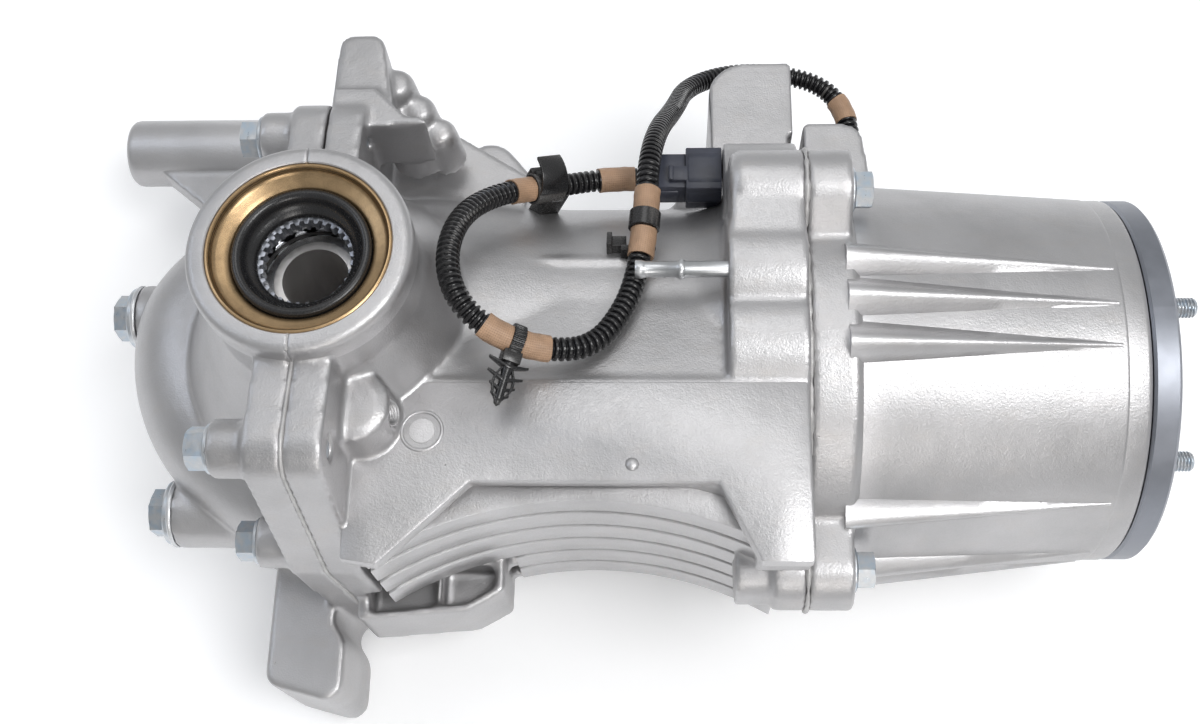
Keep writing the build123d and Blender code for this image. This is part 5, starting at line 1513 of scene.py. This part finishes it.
@dataclass
class Fasteners:
    """Every bolt, plug and stud that shows."""

    bolt: HexFastener = HexFastener(13.0, 8.2, 8.6, 1.8, 4.0, 38.0)
    case_bolt: HexFastener = HexFastener(13.0, 8.2, 8.6, 1.8, 4.0, 35.5)
    plug: HexFastener = HexFastener(17.0, 9.0, 13.0, 3.0, 9.0, 13.8, 11.0, 1.5, 1.0)
    stud: ThreadedStud = ThreadedStud(4.0, 19.0, 9.9)
    plug_seats: Outline = ((-408.8, 28.0), (-381.8, -58.0))
    washer_seats: Outline = ((-407.0, 28.0), (-380.0, -58.0))
    washer: Outline = ((9.2, 0.0), (13.6, 0.0), (13.95, 0.5), (13.95, 1.3), (13.6, 1.78), (9.2, 1.78))
    cover_seat: float = -334.0
    case_seat: float = -115.5

    def build(self) -> None:
        """Sets all rows."""
        cover, case = ([(x, y, z) for y, z in places]
                       for x, places in ((self.cover_seat, COVER_BOLTS), (self.case_seat, CASE_BOLTS)))
        plugs, studs = [(x, y, 0.0) for x, y in self.plug_seats], [(0.0, y, z) for y, z in STUDS]
        for row in (FastenerRow("cover_bolt_heads", "cover_bolts", self.bolt, cover, False),
                    FastenerRow("case_bolt_heads", "case_bolts", self.case_bolt, case, seed=8),
                    FastenerRow("hex_oil_plugs", "oil_plugs", self.plug, plugs, False, seed=5),
                    FastenerRow("flange_stud_threads", "flange_studs", self.stud, studs, body=Body.INPUT,
                                seed=2)):
            row.build()
        washers = Shape()
        for x, y in self.washer_seats:
            washers.lathe((x, y, 0), (-1, 0, 0), self.washer, 64, True)
        seat(washers.piece("crush_washers"), Body.HOUSING, BRIGHT_TUBE, "plug_washers")


@dataclass
class AxleSeals:
    """The pressed case, the bulging rubber lip and the toothed ring in each axle port."""

    case: Outline = (
        (31.95, -11.4), (31.95, -0.9), (31.7, -0.5), (31.0, -0.4), (30.6, -0.8), (30.3, -2.2), (29.8, -3.3),
        (28.8, -3.9), (26.6, -4.6), (25.2, -5.2), (24.6, -5.8), (24.3, -7.0), (30.4, -7.6), (30.8, -11.4),
    )
    lip: Outline = (
        (24.2, -6.2), (24.1, -4.9), (23.5, -4.1), (22.5, -3.8), (21.5, -4.1), (20.7, -5.0), (20.2, -6.4),
        (19.5, -7.7), (18.5, -8.6), (17.4, -9.4), (16.8, -10.3), (16.6, -11.4), (17.3, -12.3), (19.0, -11.9),
        (20.8, -11.0), (23.0, -10.4), (24.2, -8.0),
    )
    ring: Outline = ((16.4, -13.2), (17.6, -12.7), (18.4, -13.0), (18.4, -17.5), (16.2, -17.5))
    tooth_root: float = 17.0
    tooth_height: float = 1.2
    tooth_count: int = 30

    def build(self) -> None:
        """Makes the seals, which stand for the plain ones, and the dark ring behind each lip."""
        for name, profile, sides, degrees, bend, finish, nodes in (
                ("pressed_seal_cases", self.case, 160, 50, None, GOLD_CASE, ("axle_seal_cases",)),
                ("rubber_seal_lips", self.lip, 128, 60, None, RUBBER, ("axle_seal_lips",)),
                ("toothed_seal_rings", self.ring, 272, 30, self.teeth, DARK_STEEL, ())):
            shape = Shape()
            for z, axis in PORTS:
                shape.lathe((AXLE_X, 0, z), axis, profile, sides, True, bend)
            seat(shape.piece(name, degrees=degrees), Body.HOUSING, finish, *nodes)

    def teeth(self, angle: float, radius: float, height: float) -> Corner:
        """Steps the ring's inner face."""
        tooth = radius < self.tooth_root and math.sin(self.tooth_count * angle) > 0.1
        return radius - (self.tooth_height if tooth else 0.0), height


@dataclass
class BreatherPipe:
    """The bright tube with its bead and belled end."""

    centre: Corner = (10.5, 83.0)
    profile: Outline = (
        (1.9, -195.3), (3.1, -195.45), (3.35, -195.1), (3.4, -193.0), (3.15, -192.3), (3.0, -191.6),
        (3.0, -180.4), (3.4, -179.9), (3.65, -179.3), (3.65, -178.3), (3.4, -177.7), (3.0, -177.2),
        (3.0, -158.0), (1.9, -158.0),
    )

    def build(self) -> None:
        """Turns the tube."""
        tube = Shape()
        tube.lathe((0, *self.centre), FORWARDS, self.profile, 40, True)
        seat(tube.piece("belled_breather_tube", degrees=45), Body.HOUSING, BRIGHT_TUBE, "breather_pipe")


@dataclass
class PlugBody:
    """The connector: a slim rear half, a wider shell, a latch and the seal at its mouth."""

    axis: Corner = (66.0, 51.0)
    rear: float = -188.4
    step: float = -176.5
    mouth: float = -162.4
    slim: Corner = (15.0, 13.0)
    shell: Corner = (18.4, 16.4)
    latch: Point = (9.0, 6.4, 2.4)
    latch_grip: Point = (2.0, 6.4, 2.2)
    latch_y: float = -2.2
    rail: Point = (8.0, 1.0, 7.0)
    seal: tuple[Point, ...] = ((-4.2, 0.0, 6.0), (4.2, 0.0, 6.0), (-4.0, 3.4, 5.6), (4.0, 3.4, 5.6))

    def build(self) -> None:
        """Builds the shell round the CAD plug's axis."""
        y, z = self.axis
        shape = Shape()
        shape.block(((self.rear + self.step) / 2 + 0.5, y, z), (self.step - self.rear + 1, *self.slim))
        shape.block(((self.step + self.mouth) / 2, y, z + 0.2), (self.mouth - self.step, *self.shell))
        seal = hull([(y + a, z + b, radius) for a, b, radius in self.seal])
        shape.prism(seal, self.step + 0.8, self.mouth, True)
        shape.block((self.step - 2.0, y + self.latch_y, z + 7.3), self.latch)
        shape.block((self.step - 5.8, y + self.latch_y, z + 8.3), self.latch_grip)
        for side in (-1, 1):
            shape.block((self.rear + 5.0, y + side * 7.6, z), self.rail)
        seat(shape.piece("plug_shell", 0.7), Body.HOUSING, PLUG, "connector_plug")


@dataclass
class LeadTrim:
    """Tape bands on the lead and the clips that hold it."""

    lead: Lead
    bands: tuple[tuple[str, float, float], ...] = (
        ("tape_at_plug", 8.0, 22.5), ("tape_at_saddle", 53.0, 62.5), ("tape_at_tie", 147.5, 173.0),
        ("tape_below_strap", 231.5, 242.5), ("tape_above_strap", 250.0, 259.5),
        ("tape_at_gland", 446.0, 457.5),
    )
    barbs: tuple[Point, ...] = ((8.6, 7.4, 0.9), (13.2, 6.6, 1.6), (17.2, 4.8, 1.4), (20.4, 3.4, 1.2))
    saddle_at: float = 46.5
    strap_at: float = 246.3
    tie_at: float = 160.5
    neck_radius: float = 66.6
    shoulder: float = 42

    def tapes(self) -> None:
        """Wraps the six bands of cloth tape."""
        for name, start, end in self.bands:
            seat(self.lead.sleeve(name, start * MM, end * MM, 0.5 * MM, TAPE, 0.35 * MM), Body.HOUSING, TAPE)

    def ring(self, shape: Shape, distance: float, half: float, radius: float, inner: float = 4.3,
             ridges: int = 0) -> RoutePlace:
        """A band round the lead.

        Args:
            shape: The mesh it is added to.
            distance: Its place along the lead, in millimetres.
            half: Half its width.
            radius: Its outer radius.
            inner: Its inner radius.
            ridges: Number of teeth round it, or none.

        Returns:
            Its place on the lead.
        """
        here = self.lead.at(distance * MM)
        base = here.point / MM - here.along * half

        def teeth(angle: float, r: float, h: float) -> Corner:
            """Raises the outer face in small steps."""
            high = ridges and r > inner + 0.6 and math.sin(ridges * angle) > 0
            return (r + 0.45 if high else r), h

        width = 2 * half
        profile = [(inner, 0.0), (radius - 0.25, 0.0), (radius, 0.3), (radius, width - 0.3),
                   (radius - 0.25, width), (inner, width)]
        shape.lathe(base, here.along, profile, 8 * ridges if ridges else 48, True, teeth)
        return here

    def flare(self, shape: Shape, here: RoutePlace, width: float) -> None:
        """The saddle clip's wall, which stands away from the band and flares.

        Args:
            shape: The mesh it is added to.
            here: The band's place on the lead.
            width: Its width along the lead.
        """
        side = Vector(UPWARDS).cross(here.along).normalized()
        top = here.along.cross(side).normalized()
        centre = here.point / MM
        rows = []
        for k in range(11):
            turn = math.radians(150 - 92 * k / 10)
            out = side * -math.cos(turn) + top * math.sin(turn)
            radius = 5.4 + 0.36 * k + 0.03 * k * k
            half = width / 2 * (1.0 - 0.014 * k)
            inner, outer = out * radius, out * (radius + 1.3)
            rows.append([(centre + p + here.along * q) * MM for p, q in
                         ((inner, -half), (inner, half), (outer, half), (outer, -half))])
        shape.rows(rows)

    def saddle(self) -> None:
        """The clip on the neck's shoulder: a wide band, a flared wall, a catch and its foot."""
        shape = Shape()
        here = self.ring(shape, self.saddle_at, 6.3, 6.1)
        self.flare(shape, here, 12.4)
        x, y, z = here.point / MM
        side = Vector(UPWARDS).cross(here.along).normalized()
        shape.block((x, y, z + 6.1), (4.0, 8.0, 1.6), here.along)
        shape.block(Vector((x, y, z)) - side * 5.2 + Vector((0, 0, 3.0)), (9.0, 2.6, 5.0), here.along)
        shape.block((x, y, (z + self.shoulder) / 2 - 3), (9.0, 7.0, z - self.shoulder), here.along)
        seat(shape.piece("neck_saddle_clip", 0.4), Body.HOUSING, CLIP, "saddle_clip")

    def strap(self) -> None:
        """The black strap between two bands, on its round base on the neck."""
        shape = Shape()
        here = self.ring(shape, self.strap_at, 3.6, 5.9)
        x, y, z = here.point / MM
        out = Vector((0, y, z)).normalized()
        foot = Vector((x, 0, 0)) + out * self.neck_radius
        base = [(0, 0), (8.9, 0.0), (8.9, 1.4), (8.3, 2.2), (4.5, 3.0), (3.4, 4.2), (3.2, 18.0), (0, 18.0)]
        shape.lathe(foot, out, base, 48)
        left = Vector((-1, 0, 0))
        shape.block(foot + left * 10.5 + out * 4.6, (7.0, 6.0, 5.0), left, out)
        shape.block(foot + left * 13.4 + out * 4.6, (2.0, 7.4, 8.0), left, out)
        shape.block(foot + left * 7.0 + out * 6.0 - Vector((0, 5.6, 0)), (4.0, 3.0, 9.0), left, out)
        seat(shape.piece("round_base_strap", 0.35), Body.HOUSING, CLIP, "round_base_clip")

    def fir_tree(self) -> None:
        """The toothed tie round the tape, with its head and barbed stem."""
        shape = Shape()
        here = self.ring(shape, self.tie_at, 2.3, 5.6, 4.5, 26)
        centre = here.point / MM
        stem = Vector((-0.25, -1, -0.05)).normalized()
        wide = here.along - stem * stem.dot(here.along)
        wide.normalize()
        thin = stem.cross(wide).normalized()
        shape.block(centre + stem * 6.4, (4.2, 6.6, 6.4), stem, thin)
        for depth, half, reach in self.barbs:
            rows = []
            for k in range(9):
                t = -1 + k / 4
                rise = reach * (1 - abs(t)) * 1.2
                span = (2.6 if depth < 10 else 1.6) * (1 - 0.72 * abs(t))
                spot = centre + stem * (depth + 1.6 - abs(t) * 1.9) + wide * t * half
                top = 0.35 + rise * 0.3
                section = ((-0.55, -span), (-0.55, span), (top, span), (top, -span))
                rows.append([(spot + stem * p + thin * q) * MM for p, q in section])
            shape.rows(rows)
        core = [(0, 0), (2.2, 0.0), (2.2, 6.0), (1.7, 9.0), (1.7, 17.5), (1.2, 19.6), (0, 20.6)]
        shape.lathe(centre + stem * 4, stem, core, 20)
        section = ((-0.4, -0.9), (0.4, -0.9), (0.4, 0.9), (-0.4, 0.9))
        for side in (-1, 1):
            rows = []
            for k in range(9):
                t = k / 8
                bow = math.sin(math.pi * t) * 3.0 + 1.2 * (1 - t)
                spot = centre + stem * (9.5 + 14.2 * t) + wide * side * bow * (1 if t < 1 else 0)
                rows.append([(spot + wide * a + thin * b) * MM for a, b in section])
            shape.rows(rows)
        seat(shape.piece("fir_tree_tie", 0.15), Body.HOUSING, CLIP, "fir_tree_clip")

    def build(self) -> None:
        """Makes every band and clip."""
        self.tapes()
        self.saddle()
        self.strap()
        self.fir_tree()


@dataclass(frozen=True)
class HousingForms:
    """Forms of the main casting that its solid leaves out: lug, blends, bosses, tray and tapped hole.

    Outlines hold (x, y), or (y, z) where the prism runs along X. A span is where a prism starts and ends.
    """

    lug_room: Outline = ((-312, 78), (-312, 110), (-266, 110), (-266, 64), (-281, 66), (-292, 78))
    lug_room_span: Corner = (71.4, 102)
    tray: Outline = ((-301, -78), (-301, -96.6), (-263, -92.7), (-252, -86), (-252, -78))
    tray_span: Corner = (-15, 3)
    tray_wall: Point = (-274, -88, -12)
    tray_wall_size: Point = (2.4, 16, 12)
    lug: tuple[Point, ...] = ((-303.4, 99.0, 5.2), (-296.6, 99.0, 5.4), (-302, 70, 7.5), (-294.5, 70, 8.5))
    lug_span: Corner = (71.8, 95.5)
    knobs: tuple[tuple[float, float, float, float, float], ...] = (
        (-287.5, 86.5, 7.4, 66, 91.0), (-279.5, 79.5, 7.0, 60, 84.5), (-271.5, 73.0, 6.6, 56, 78.5),
        (-290.5, 77.0, 9.5, 66, 84.0), (-282.0, 71.5, 9.0, 60, 78.5),
    )
    neck_blend: Outline = (
        (-34, 60), (-34, 77.2), (-31, 77.2), (-22, 75.4), (-8, 72.4), (4, 70.0), (14, 67.4), (14, 50),
    )
    neck_blend_span: Corner = (-288, -148)
    crease: Corner = (21.5, 64.4)
    crease_profile: Outline = (
        (0, -262), (2.4, -260.5), (3.3, -256), (3.3, -201), (2.4, -197), (0, -195),
    )
    joint_pad: Outline = ((-153, -93), (-133.7, -93), (-133.7, -20), (-153, -20))
    joint_pad_span: Corner = (52, 77.6)
    ear: Corner = (47, 75)
    ear_profile: Outline = (
        (0, -161), (10.5, -161), (13.6, -160), (15.1, -157), (15.1, -133.7), (0, -133.7),
    )
    ear_web: tuple[Point, ...] = ((47, 75, 12.6), (15, 64, 22.4))
    ear_web_span: Corner = (-160.4, -133.7)
    boss: Corner = (-292, -46)
    boss_profile: Outline = (
        (0, 58), (19, 58), (16.6, 68), (14.4, 77), (13.5, 84), (13.1, 91), (11.6, 94.0), (9.0, 95.2),
        (0, 95.6),
    )
    hole_mouth: Point = (-280.6, -46.0, 86.0)
    hole_way: Point = (0.86, 0.0, 0.5)
    hole_radius: float = 4.8
    hole_depth: float = 6.0
    hole_reach: float = 16

    def hollows(self, shape: Shape) -> None:
        """Takes out the room round the upper lug and in the tray under it."""
        shape.prism(self.lug_room, *self.lug_room_span)
        shape.prism(self.tray, *self.tray_span)

    def bores(self, shape: Shape) -> None:
        """Cuts the tapped hole.

        Args:
            shape: Takes the hole.
        """
        way, size = Vector(self.hole_way).normalized(), self.hole_radius
        profile = [(0, 0), (size, 0), (size, self.hole_reach), (0, self.hole_reach)]
        shape.lathe(Vector(self.hole_mouth) - way * self.hole_depth, way, profile, 40)

    def knob(self, shape: Shape, place: Corner, radius: float, low: float, top: float) -> None:
        """A round knob, wider at its foot and domed.

        Args:
            shape: Takes the knob.
            place: Its axis, as x and y.
            radius: Its radius.
            low: Height of its foot.
            top: Height of its dome.
        """
        profile = [(0, low), (radius + 1.5, low), (radius, top - 5.5), (radius * 0.93, top - 3),
                   (radius * 0.72, top - 1), (radius * 0.4, top - 0.15), (0, top)]
        shape.lathe((*place, 0), UPWARDS, profile, 36)

    def forms(self, shape: Shape) -> None:
        """Adds the lug, the knobs, the blends, the bosses and the tray's wall.

        Args:
            shape: Takes the forms.
        """
        shape.prism(hull(self.lug), *self.lug_span)
        for x, y, radius, low, top in self.knobs:
            self.knob(shape, (x, y), radius, low, top)
        shape.prism(self.neck_blend, *self.neck_blend_span, True)
        shape.lathe((0, *self.crease), FORWARDS, self.crease_profile, 24)
        shape.prism(self.joint_pad, *self.joint_pad_span)
        shape.lathe((0, *self.ear), FORWARDS, self.ear_profile, 64)
        shape.prism(hull(self.ear_web), *self.ear_web_span, True)
        shape.lathe((*self.boss, 0), UPWARDS, self.boss_profile, 64)
        shape.block(self.tray_wall, self.tray_wall_size)


@dataclass
class CastMarks:
    """Small raised marks of the pattern, a plain ring and a pip, and the thread in the tapped hole."""

    forms: HousingForms
    level: float = 78.2
    ring_place: Corner = (-270, -50)
    pip_place: Corner = (-196, -62)
    ring: Outline = ((6.3, -0.6), (6.6, 0.5), (7.1, 0.75), (7.7, 0.5), (8.1, -0.6))
    middle: Outline = ((4.7, -0.6), (4.5, 0.45), (0, 0.5))
    pip: Outline = ((2.6, -0.4), (2.3, 0.5), (1.5, 1.1), (0, 1.35))

    def build(self) -> None:
        """Raises the marks on the flat beside the neck and cuts the thread."""
        shape = Shape()
        for place, profile, sides, closed in ((self.ring_place, self.ring, 64, True),
                                              (self.ring_place, self.middle, 48, False),
                                              (self.pip_place, self.pip, 32, False)):
            shape.lathe((*place, self.level), UPWARDS, profile, sides, closed)
        thread = [(4.95, -5.9), (4.95, 0.7), (4.5, 1.0)]
        thread += [(3.9 + 0.5 * (k % 2), 0.7 - 0.6 * k) for k in range(11)]
        shape.lathe(self.forms.hole_mouth, self.forms.hole_way, thread, 40, True)
        seat(shape.piece("pattern_marks", degrees=60), Body.HOUSING, CAST)


@dataclass
class CoolingFins:
    """The curved fins under the flat's lower edge, thick, with narrow slots between."""

    slabs: tuple[Point, ...] = (
        (56.0, 12.4, -290.0), (38.0, 14.2, -290.0), (20.0, 14.2, -290.0), (2.0, 14.2, -290.0),
        (-16.0, 14.2, -246.0), (-34.0, 14.2, -246.0),
    )
    edge: tuple[Corner, Corner, Corner] = ((-290, -94), (-205, -72), (-142, -90))
    back: Outline = ((-142, -60), (-205, -58))
    back_y: float = -62
    proud: float = 0.6
    sunk: float = 0.3

    def build(self) -> None:
        """Draws the fins over their thin cores."""
        shape = Shape()
        edge = arc(*self.edge)
        for level, thick, start in self.slabs:
            outer = [(x, y - self.proud) for x, y in edge if x >= start]
            shape.prism([*outer, *self.back, (outer[0][0], self.back_y)], level - self.sunk, level + thick)
        seat(shape.piece("cooling_fins", 0.9, 32), Body.HOUSING, CAST)


@dataclass
class CrispEdges:
    """Plain pieces that give the casting its sharp edges: the mount flat, the arm and the port rims."""

    flat: Outline = (
        (-295.6, -31), (-295.6, -96.2), (-283, -98.2), (-252, -68.2), (-166, -68.2), (-152, -96.2),
        (-134.2, -96.2), (-134.2, -31),
    )
    flat_span: Corner = (71.4, 78.35)
    rim: Outline = (
        (32.02, -9.0), (32.02, -0.5), (32.4, -0.1), (35.6, 0.0), (37.0, -0.25), (38.1, -1.0), (38.75, -2.2),
        (38.95, -4.0), (38.95, -11.0),
    )
    slit: Point = (AXLE_X, 0, 16)
    slit_size: Point = (0.3, 90, 240)
    arm_axis: Corner = (134.0, -42.0)
    arm: Outline = (
        (6.2, -441.0), (12.4, -441.0), (14.4, -440.3), (15.5, -438.9), (15.85, -437.0), (15.85, -374.0),
        (6.2, -374.0),
    )

    def build(self) -> None:
        """Draws the pieces."""
        flat, rims, arm = Shape(), Shape(), Shape()
        flat.prism(self.flat, *self.flat_span)
        seat(flat.piece("mount_flat", 1.1, 30), Body.HOUSING, CAST)
        for z, axis in PORTS:
            rims.lathe((AXLE_X, 0, z), axis, self.rim, 200, True)
        seat(carve(rims.piece("axle_port_rims", degrees=40), self.joint), Body.HOUSING, CAST)
        arm.lathe((0, *self.arm_axis), FORWARDS, self.arm, 120, True)
        seat(arm.piece("mount_arm_barrel", degrees=35), Body.HOUSING, CAST)

    def joint(self, shape: Shape) -> None:
        """Takes out the slit where the cover meets the housing."""
        shape.block(self.slit, self.slit_size)


@dataclass
class CaseBarrel:
    """The coupling case's smooth barrel and the wedge ribs that run out on it."""

    root: Corner = (-114.0, 79.2)
    nose: Corner = (-20.0, 73.1)
    front: float = -10.7
    tip: Outline = ((73.05, -19.4), (72.75, -18.9), (72.75, -12.4), (72.5, -11.4))
    lip: float = 71.9
    bore: float = 69.4
    inner: Outline = ((69.4, -17.0), (70.6, -22.0), (76.6, -112.0))
    inner_root: float = 76.8
    rib_stations: Corner = (-119.0, -21.0)
    rib_tops: Corner = (85.45, 73.5)
    rib_crests: Corner = (2.4, 0.5)
    rib_feet: Corner = (7.9, 0.9)
    rib_steps: int = 14
    angles: tuple[float, ...] = (12.5, 1.0, -11.5, -60.0, -86.5, 100.0, 168.0, 180.0, 192.0, 258.0)

    def radius(self, x: float) -> float:
        """Radius of the barrel at a station."""
        share = (x - self.root[0]) / (self.nose[0] - self.root[0])
        return blend(self.root[1], self.nose[1], min(max(share, 0.0), 1.0))

    def rib(self, shape: Shape, angle: float) -> None:
        """One wedge rib, high and wide at the flange and gone near the nose.

        Args:
            shape: Takes the rib.
            angle: Degrees from +Z towards +Y.
        """
        turn = math.radians(angle)
        out = Vector((0, math.sin(turn), math.cos(turn)))
        side = Vector((0, math.cos(turn), -math.sin(turn)))
        rows = []
        for k in range(self.rib_steps + 1):
            x, top, crest, foot = (blend(*ends, k / self.rib_steps) for ends in
                                   (self.rib_stations, self.rib_tops, self.rib_crests, self.rib_feet))
            skin = self.radius(x)
            drop = min(0.9, (top - skin) * 0.35)
            half = ((foot, skin - 1.5), (foot, skin - 0.25), (crest, top - drop), (crest * 0.4, top))
            section = [(-a, b) for a, b in half] + [*half][::-1]
            rows.append([(Vector((x, 0, 0)) + side * a + out * b) * MM for a, b in section])
        shape.rows(rows)

    def build(self) -> None:
        """Turns the barrel and sets the ribs on it."""
        barrel, ribs = Shape(), Shape()
        steps = [blend(self.root[0], self.nose[0], k / 10) for k in range(11)]
        outer = [(self.radius(x), x) for x in steps]
        front = [(self.lip, self.front), (self.bore, self.front)]
        profile = [*outer, *self.tip, *front, *self.inner, (self.inner_root, self.root[0])]
        barrel.lathe(ORIGIN, FORWARDS, profile, 240, True)
        seat(barrel.piece("case_barrel", degrees=30), Body.HOUSING, CAST)
        for angle in self.angles:
            self.rib(ribs, angle)
        seat(ribs.piece("case_wedge_ribs", degrees=50), Body.HOUSING, CAST)


@dataclass(frozen=True)
class Lamp:
    """One soft area lamp."""

    name: str
    place: Point
    size: float
    power: float
    colour: Colour = (1.0, 1.0, 1.0)


@dataclass
class Studio:
    """Pale floor, soft lamps, an even sky and the camera at the photograph's angle."""

    focus: Point = (-0.2, 0.0, 0.0)
    sky_low: float = 0.4
    sky_high: float = 0.6
    sky_span: Corner = (-0.75, 0.85)
    floor_glow: float = 0.17
    floor_half: float = 4.0
    camera_place: Point = (-0.1846, -0.2111, 0.5404)
    camera_right: Point = (0.9989, 0.0174, -0.0430)
    camera_up: Point = (0.0, 0.9268, 0.3756)
    sensor: float = 36
    lens: float = 42
    lamps: tuple[Lamp, ...] = (
        Lamp("key_lamp", (0.45, -0.38, 1.4), 0.75, 12.5),
        Lamp("side_lamp", (-1.2, 0.3, 1.0), 0.6, 1.8, (0.8, 0.87, 1.0)),
        Lamp("top_lamp", (-0.2, 0.55, 1.35), 0.8, 3.4),
        Lamp("front_lamp", (0.0, -1.3, 0.8), 0.6, 4.0, (1.0, 0.97, 0.94)),
    )

    def floor(self, height: float) -> None:
        """Lays the floor at a height.

        Args:
            height: Height of the floor, in metres.
        """
        mesh, half = bpy.data.meshes.new("studio_floor"), self.floor_half
        corners = [(x, y, height) for x, y in ((-half, -half), (half, -half), (half, half), (-half, half))]
        mesh.from_pydata(corners, [], [(0, 1, 2, 3)])
        tree = ShaderTree("Pale floor")
        tones = [(0.3, (0.93, 0.935, 0.945)), (0.7, (0.95, 0.95, 0.955))]
        tree.drive("Base Color", tree.ramp(tree.noise(3), tones))
        tree.constant("Roughness", 0.9)
        tree.constant("Specular IOR Level", 0.1)
        rays = tree.nodes.new("ShaderNodeLightPath").outputs
        seen = tree.sum("MAXIMUM", rays["Is Camera Ray"], rays["Is Glossy Ray"])
        seen = tree.sum("MAXIMUM", seen, rays["Is Transmission Ray"])
        tree.surface.inputs["Emission Color"].default_value = (1.0, 1.0, 1.0, 1.0)
        tree.drive("Emission Strength", tree.sum("MULTIPLY", seen, self.floor_glow))
        mesh.materials.append(tree.close())
        linked("studio_floor", mesh)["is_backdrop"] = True

    def light(self) -> None:
        """Sets the sky and the lamps."""
        world = bpy.data.worlds.new("Studio sky")
        bpy.context.scene.world = world
        world.use_nodes = True
        nodes, links = world.node_tree.nodes, world.node_tree.links
        way = nodes.new("ShaderNodeTexCoord")
        split = nodes.new("ShaderNodeSeparateXYZ")
        ramp = nodes.new("ShaderNodeMapRange")
        for index, value in enumerate((*self.sky_span, self.sky_low, self.sky_high), 1):
            ramp.inputs[index].default_value = value
        links.new(way.outputs["Generated"], split.inputs[0])
        links.new(split.outputs["Y"], ramp.inputs[0])
        background = nodes["Background"]
        background.inputs["Color"].default_value = (0.97, 0.985, 1.0, 1)
        links.new(ramp.outputs[0], background.inputs["Strength"])
        for lamp in self.lamps:
            data = bpy.data.lights.new(lamp.name, "AREA")
            data.shape = "DISK"
            data.size = lamp.size
            data.energy = lamp.power
            data.color = lamp.colour
            holder = linked(lamp.name, data)
            holder.location = lamp.place
            aim = Vector(self.focus) - Vector(lamp.place)
            holder.rotation_euler = aim.to_track_quat("-Z", "Y").to_euler()

    def camera(self) -> None:
        """Puts the camera where the photograph was taken from."""
        data = bpy.data.cameras.new("photo_camera")
        data.sensor_width = self.sensor
        data.lens = self.lens
        data.clip_start = 0.01
        right = Vector(self.camera_right)
        back = right.cross(Vector(self.camera_up)).normalized()
        up = back.cross(right).normalized()
        holder = linked("photo_camera", data)
        turn = Matrix((right.normalized(), up, back)).transposed().to_4x4()
        holder.matrix_world = Matrix.Translation(self.camera_place) @ turn
        bpy.context.scene.camera = holder


def dress_nodes(frame: dict) -> None:
    """Gives every solid its finish in place of its plain one.

    Args:
        frame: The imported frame.
    """
    for finish, names in NODE_FINISHES.items():
        for name in names:
            node = frame["nodes"][name]
            material = finish.material()
            if not node.data.materials:
                node.data.materials.append(material)
            for index in range(len(node.material_slots)):
                node.material_slots[index].material = material
    plain_nodes = set(frame["nodes"]) - {name for names in NODE_FINISHES.values() for name in names}
    LOG.info("solids without a finish: %s", sorted(plain_nodes))


def main() -> None:
    """Builds the lights, the camera and every piece."""
    logging.basicConfig(level=logging.INFO, format="%(message)s")
    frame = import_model()
    cad_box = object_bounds()
    bpy.context.scene.view_settings.view_transform = "Standard"
    studio = Studio()
    studio.camera()
    studio.light()
    studio.floor(cad_box[0][2] - 0.02 * MM)
    dress_nodes(frame)
    lead = Lead(HARNESS_ROUTE)
    lead.trace()
    conduit = lead.conduit()
    LOG.info("lead line: %.1f mm", lead.reach[-1] / MM)
    LeadTrim(lead).build()
    extra = HousingForms()
    for skin in (CastSkin("main_housing", "housing_skin", extra.hollows, extra.forms, extra.bores),
                 CastSkin("rear_cover", "cover_skin"), CastSkin("coupling_case", "case_skin")):
        skin.build(frame)
    CoolingFins().build()
    CrispEdges().build()
    CaseBarrel().build()
    CastMarks(extra).build()
    SealantBead("cover_gasket", "cover_joint_bead").build(frame)
    SealantBead("case_gasket", "case_joint_bead", 0.35, 1.15, 1.3).build(frame)
    Fasteners().build()
    AxleSeals().build()
    BreatherPipe().build()
    PlugBody().build()


if __name__ == "__main__":
    main()
